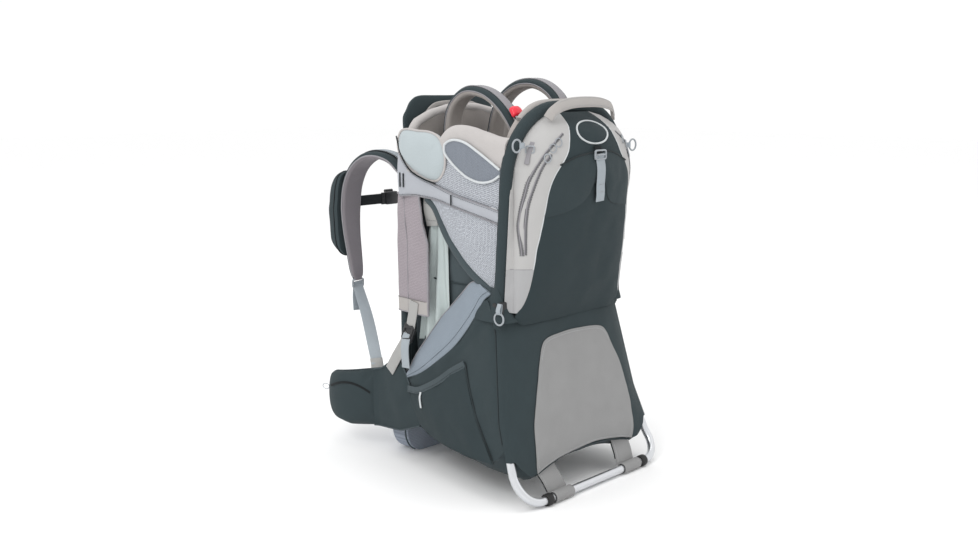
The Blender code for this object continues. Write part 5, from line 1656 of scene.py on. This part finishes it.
def small_parts(side, s):
    """The cloth sleeve on the frame's upright, the hip zip's pull and the tab beside the pouch's top."""
    path = np.array([(s * UPRIGHT_X, UPRIGHT_Y, z) for z in np.linspace(0.195, 0.330, 14)])
    round_tube(f"upright_sleeve_{side}", path, 0.0104, DARK, sides=16, up=(1, 0, 0))
    turns = full_turn(26)
    centre = np.array([s * 0.1735, 0.6085, 0.118])
    loop = centre + np.stack([s * 0.002 * np.cos(turns), 0.0085 * np.cos(turns), 0.0060 * np.sin(turns)], 1)
    round_tube(f"hip_zip_pull_{side}", loop, 0.0010, STEEL, f"hip_{side}", closed=True, sides=8, up=(1, 0, 0))
    out = unit(np.array([s * 0.8, -0.6, 0]))
    z = np.linspace(0.662, 0.624, 16)
    flare = 0.0022 + 0.004 * np.linspace(0, 1, 16) ** 2
    hang = pouch_point(s * (pouch_half_width(z) - 0.0045), z) + out * flare[:, None]
    across = np.array([0.55, s * 0.8, 0])
    strap(f"pouch_tab_{side}", hang, 0.0085, 0.0016, across, GREY_EDGE)
    spot = hang[5] + out * 0.002
    corners = [spot + unit(across) * a + (0, 0, b) for a, b in ((-0.0075, -0.006), (0.0075, -0.006),
                                                                (0.0075, 0.006), (-0.0075, 0.006))]
    wire_loop(f"pouch_tab_lock_{side}", corners, 0.002, 30, 0.0014, GREY_NYLON, sides=8)


def hinge_cover(side, s):
    """The bag's cloth where it closes over the kickstand's hinge and meets the hoop's sleeve."""
    low = curve([(0.140, 0.0795), (0.158, 0.0780), (0.171, 0.0815), (0.1815, 0.0935), (0.1830, 0.108),
                 (0.1820, 0.130), (0.1775, 0.156)], 30)
    high = curve([(0.150, 0.0910), (0.158, 0.0905), (0.166, 0.0900), (0.1722, 0.0930), (0.1752, 0.101),
                  (0.1732, 0.112), (0.1670, 0.124)], 30)
    rows = []
    for t in np.linspace(0, 1, 16):
        ease = t * t * (3 - 2 * t)
        line = low * (1 - ease) + high * ease
        height = np.interp(np.linspace(0, 1, 30), [0, 0.30, 0.55, 1], [0.022, 0.026, 0.062, 0.062])
        rows.append(np.stack([s * line[:, 0], line[:, 1], 0.334 + height * t], 1))
    g = np.array(rows)
    on_bag(sheet(f"hinge_cover_{side}", g, DARK, BAG_CLOTH, None, side=s, crumple=0.0008, seed=74 + s))


RING_CENTRES = {("upper", "left"): (-0.1765, 0.056, 0.657), ("upper", "right"): (0.1765, 0.062, 0.645),
                ("lower", "left"): (-0.1850, 0.090, 0.343), ("lower", "right"): (0.1850, 0.114, 0.343)}
RING_R = 0.011


def gear_ring(side, s, level):
    """A wire ring, across the upper tab or along the lower one, and the webbing tab that holds it."""
    centre = np.array(RING_CENTRES[level, side])
    turns = full_turn(40)
    c, r = RING_R * np.cos(turns), RING_R * np.sin(turns)
    if level == "upper":
        ring, axis = np.stack([c, 0 * c, r], 1), (0, 1, 0)
        shape = [(-0.014, 0.004, 0), (-0.004, -0.0030, 0), (0.0030, 0, 0), (-0.004, 0.0030, 0),
                 (-0.014, 0.006, 0)]
        held, across = centre - (s * RING_R, 0, 0), (0, 0, 1)
    else:
        ring, axis = np.stack([0 * c, c, r], 1), (1, 0, 0)
        shape = [(-0.004, 0, 0.016), (-0.0032, 0, 0.004), (0, 0, -0.0030), (0.0032, 0, 0.004),
                 (-0.002, 0, 0.017)]
        held, across = centre + (0, 0, RING_R), (0, 1, 0)
    strap(f"ring_tab_{level}_{side}", curve(held + mirror(s, shape), 24), 0.010, 0.0011, across, WEBBING)
    made = round_tube(f"gear_ring_{level}_{side}_loop", centre + ring, 0.0017, GREY_NYLON,
                      f"ring_{level}_{side}", closed=True, sides=12, up=axis)
    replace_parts(made, f"gear_ring_{level}_{side}")


lumbar()
carried("hip_buckle_plug", BLACK, 0.0014)
carried("hip_buckle_socket", BLACK, 0.0018)
for side_name, sign in SIDES.items():
    hip_wing(side_name, sign)
    belt_side(side_name, sign)
    hinge_cover(side_name, sign)
    small_parts(side_name, sign)
    gear_ring(side_name, sign, "upper")
    gear_ring(side_name, sign, "lower")
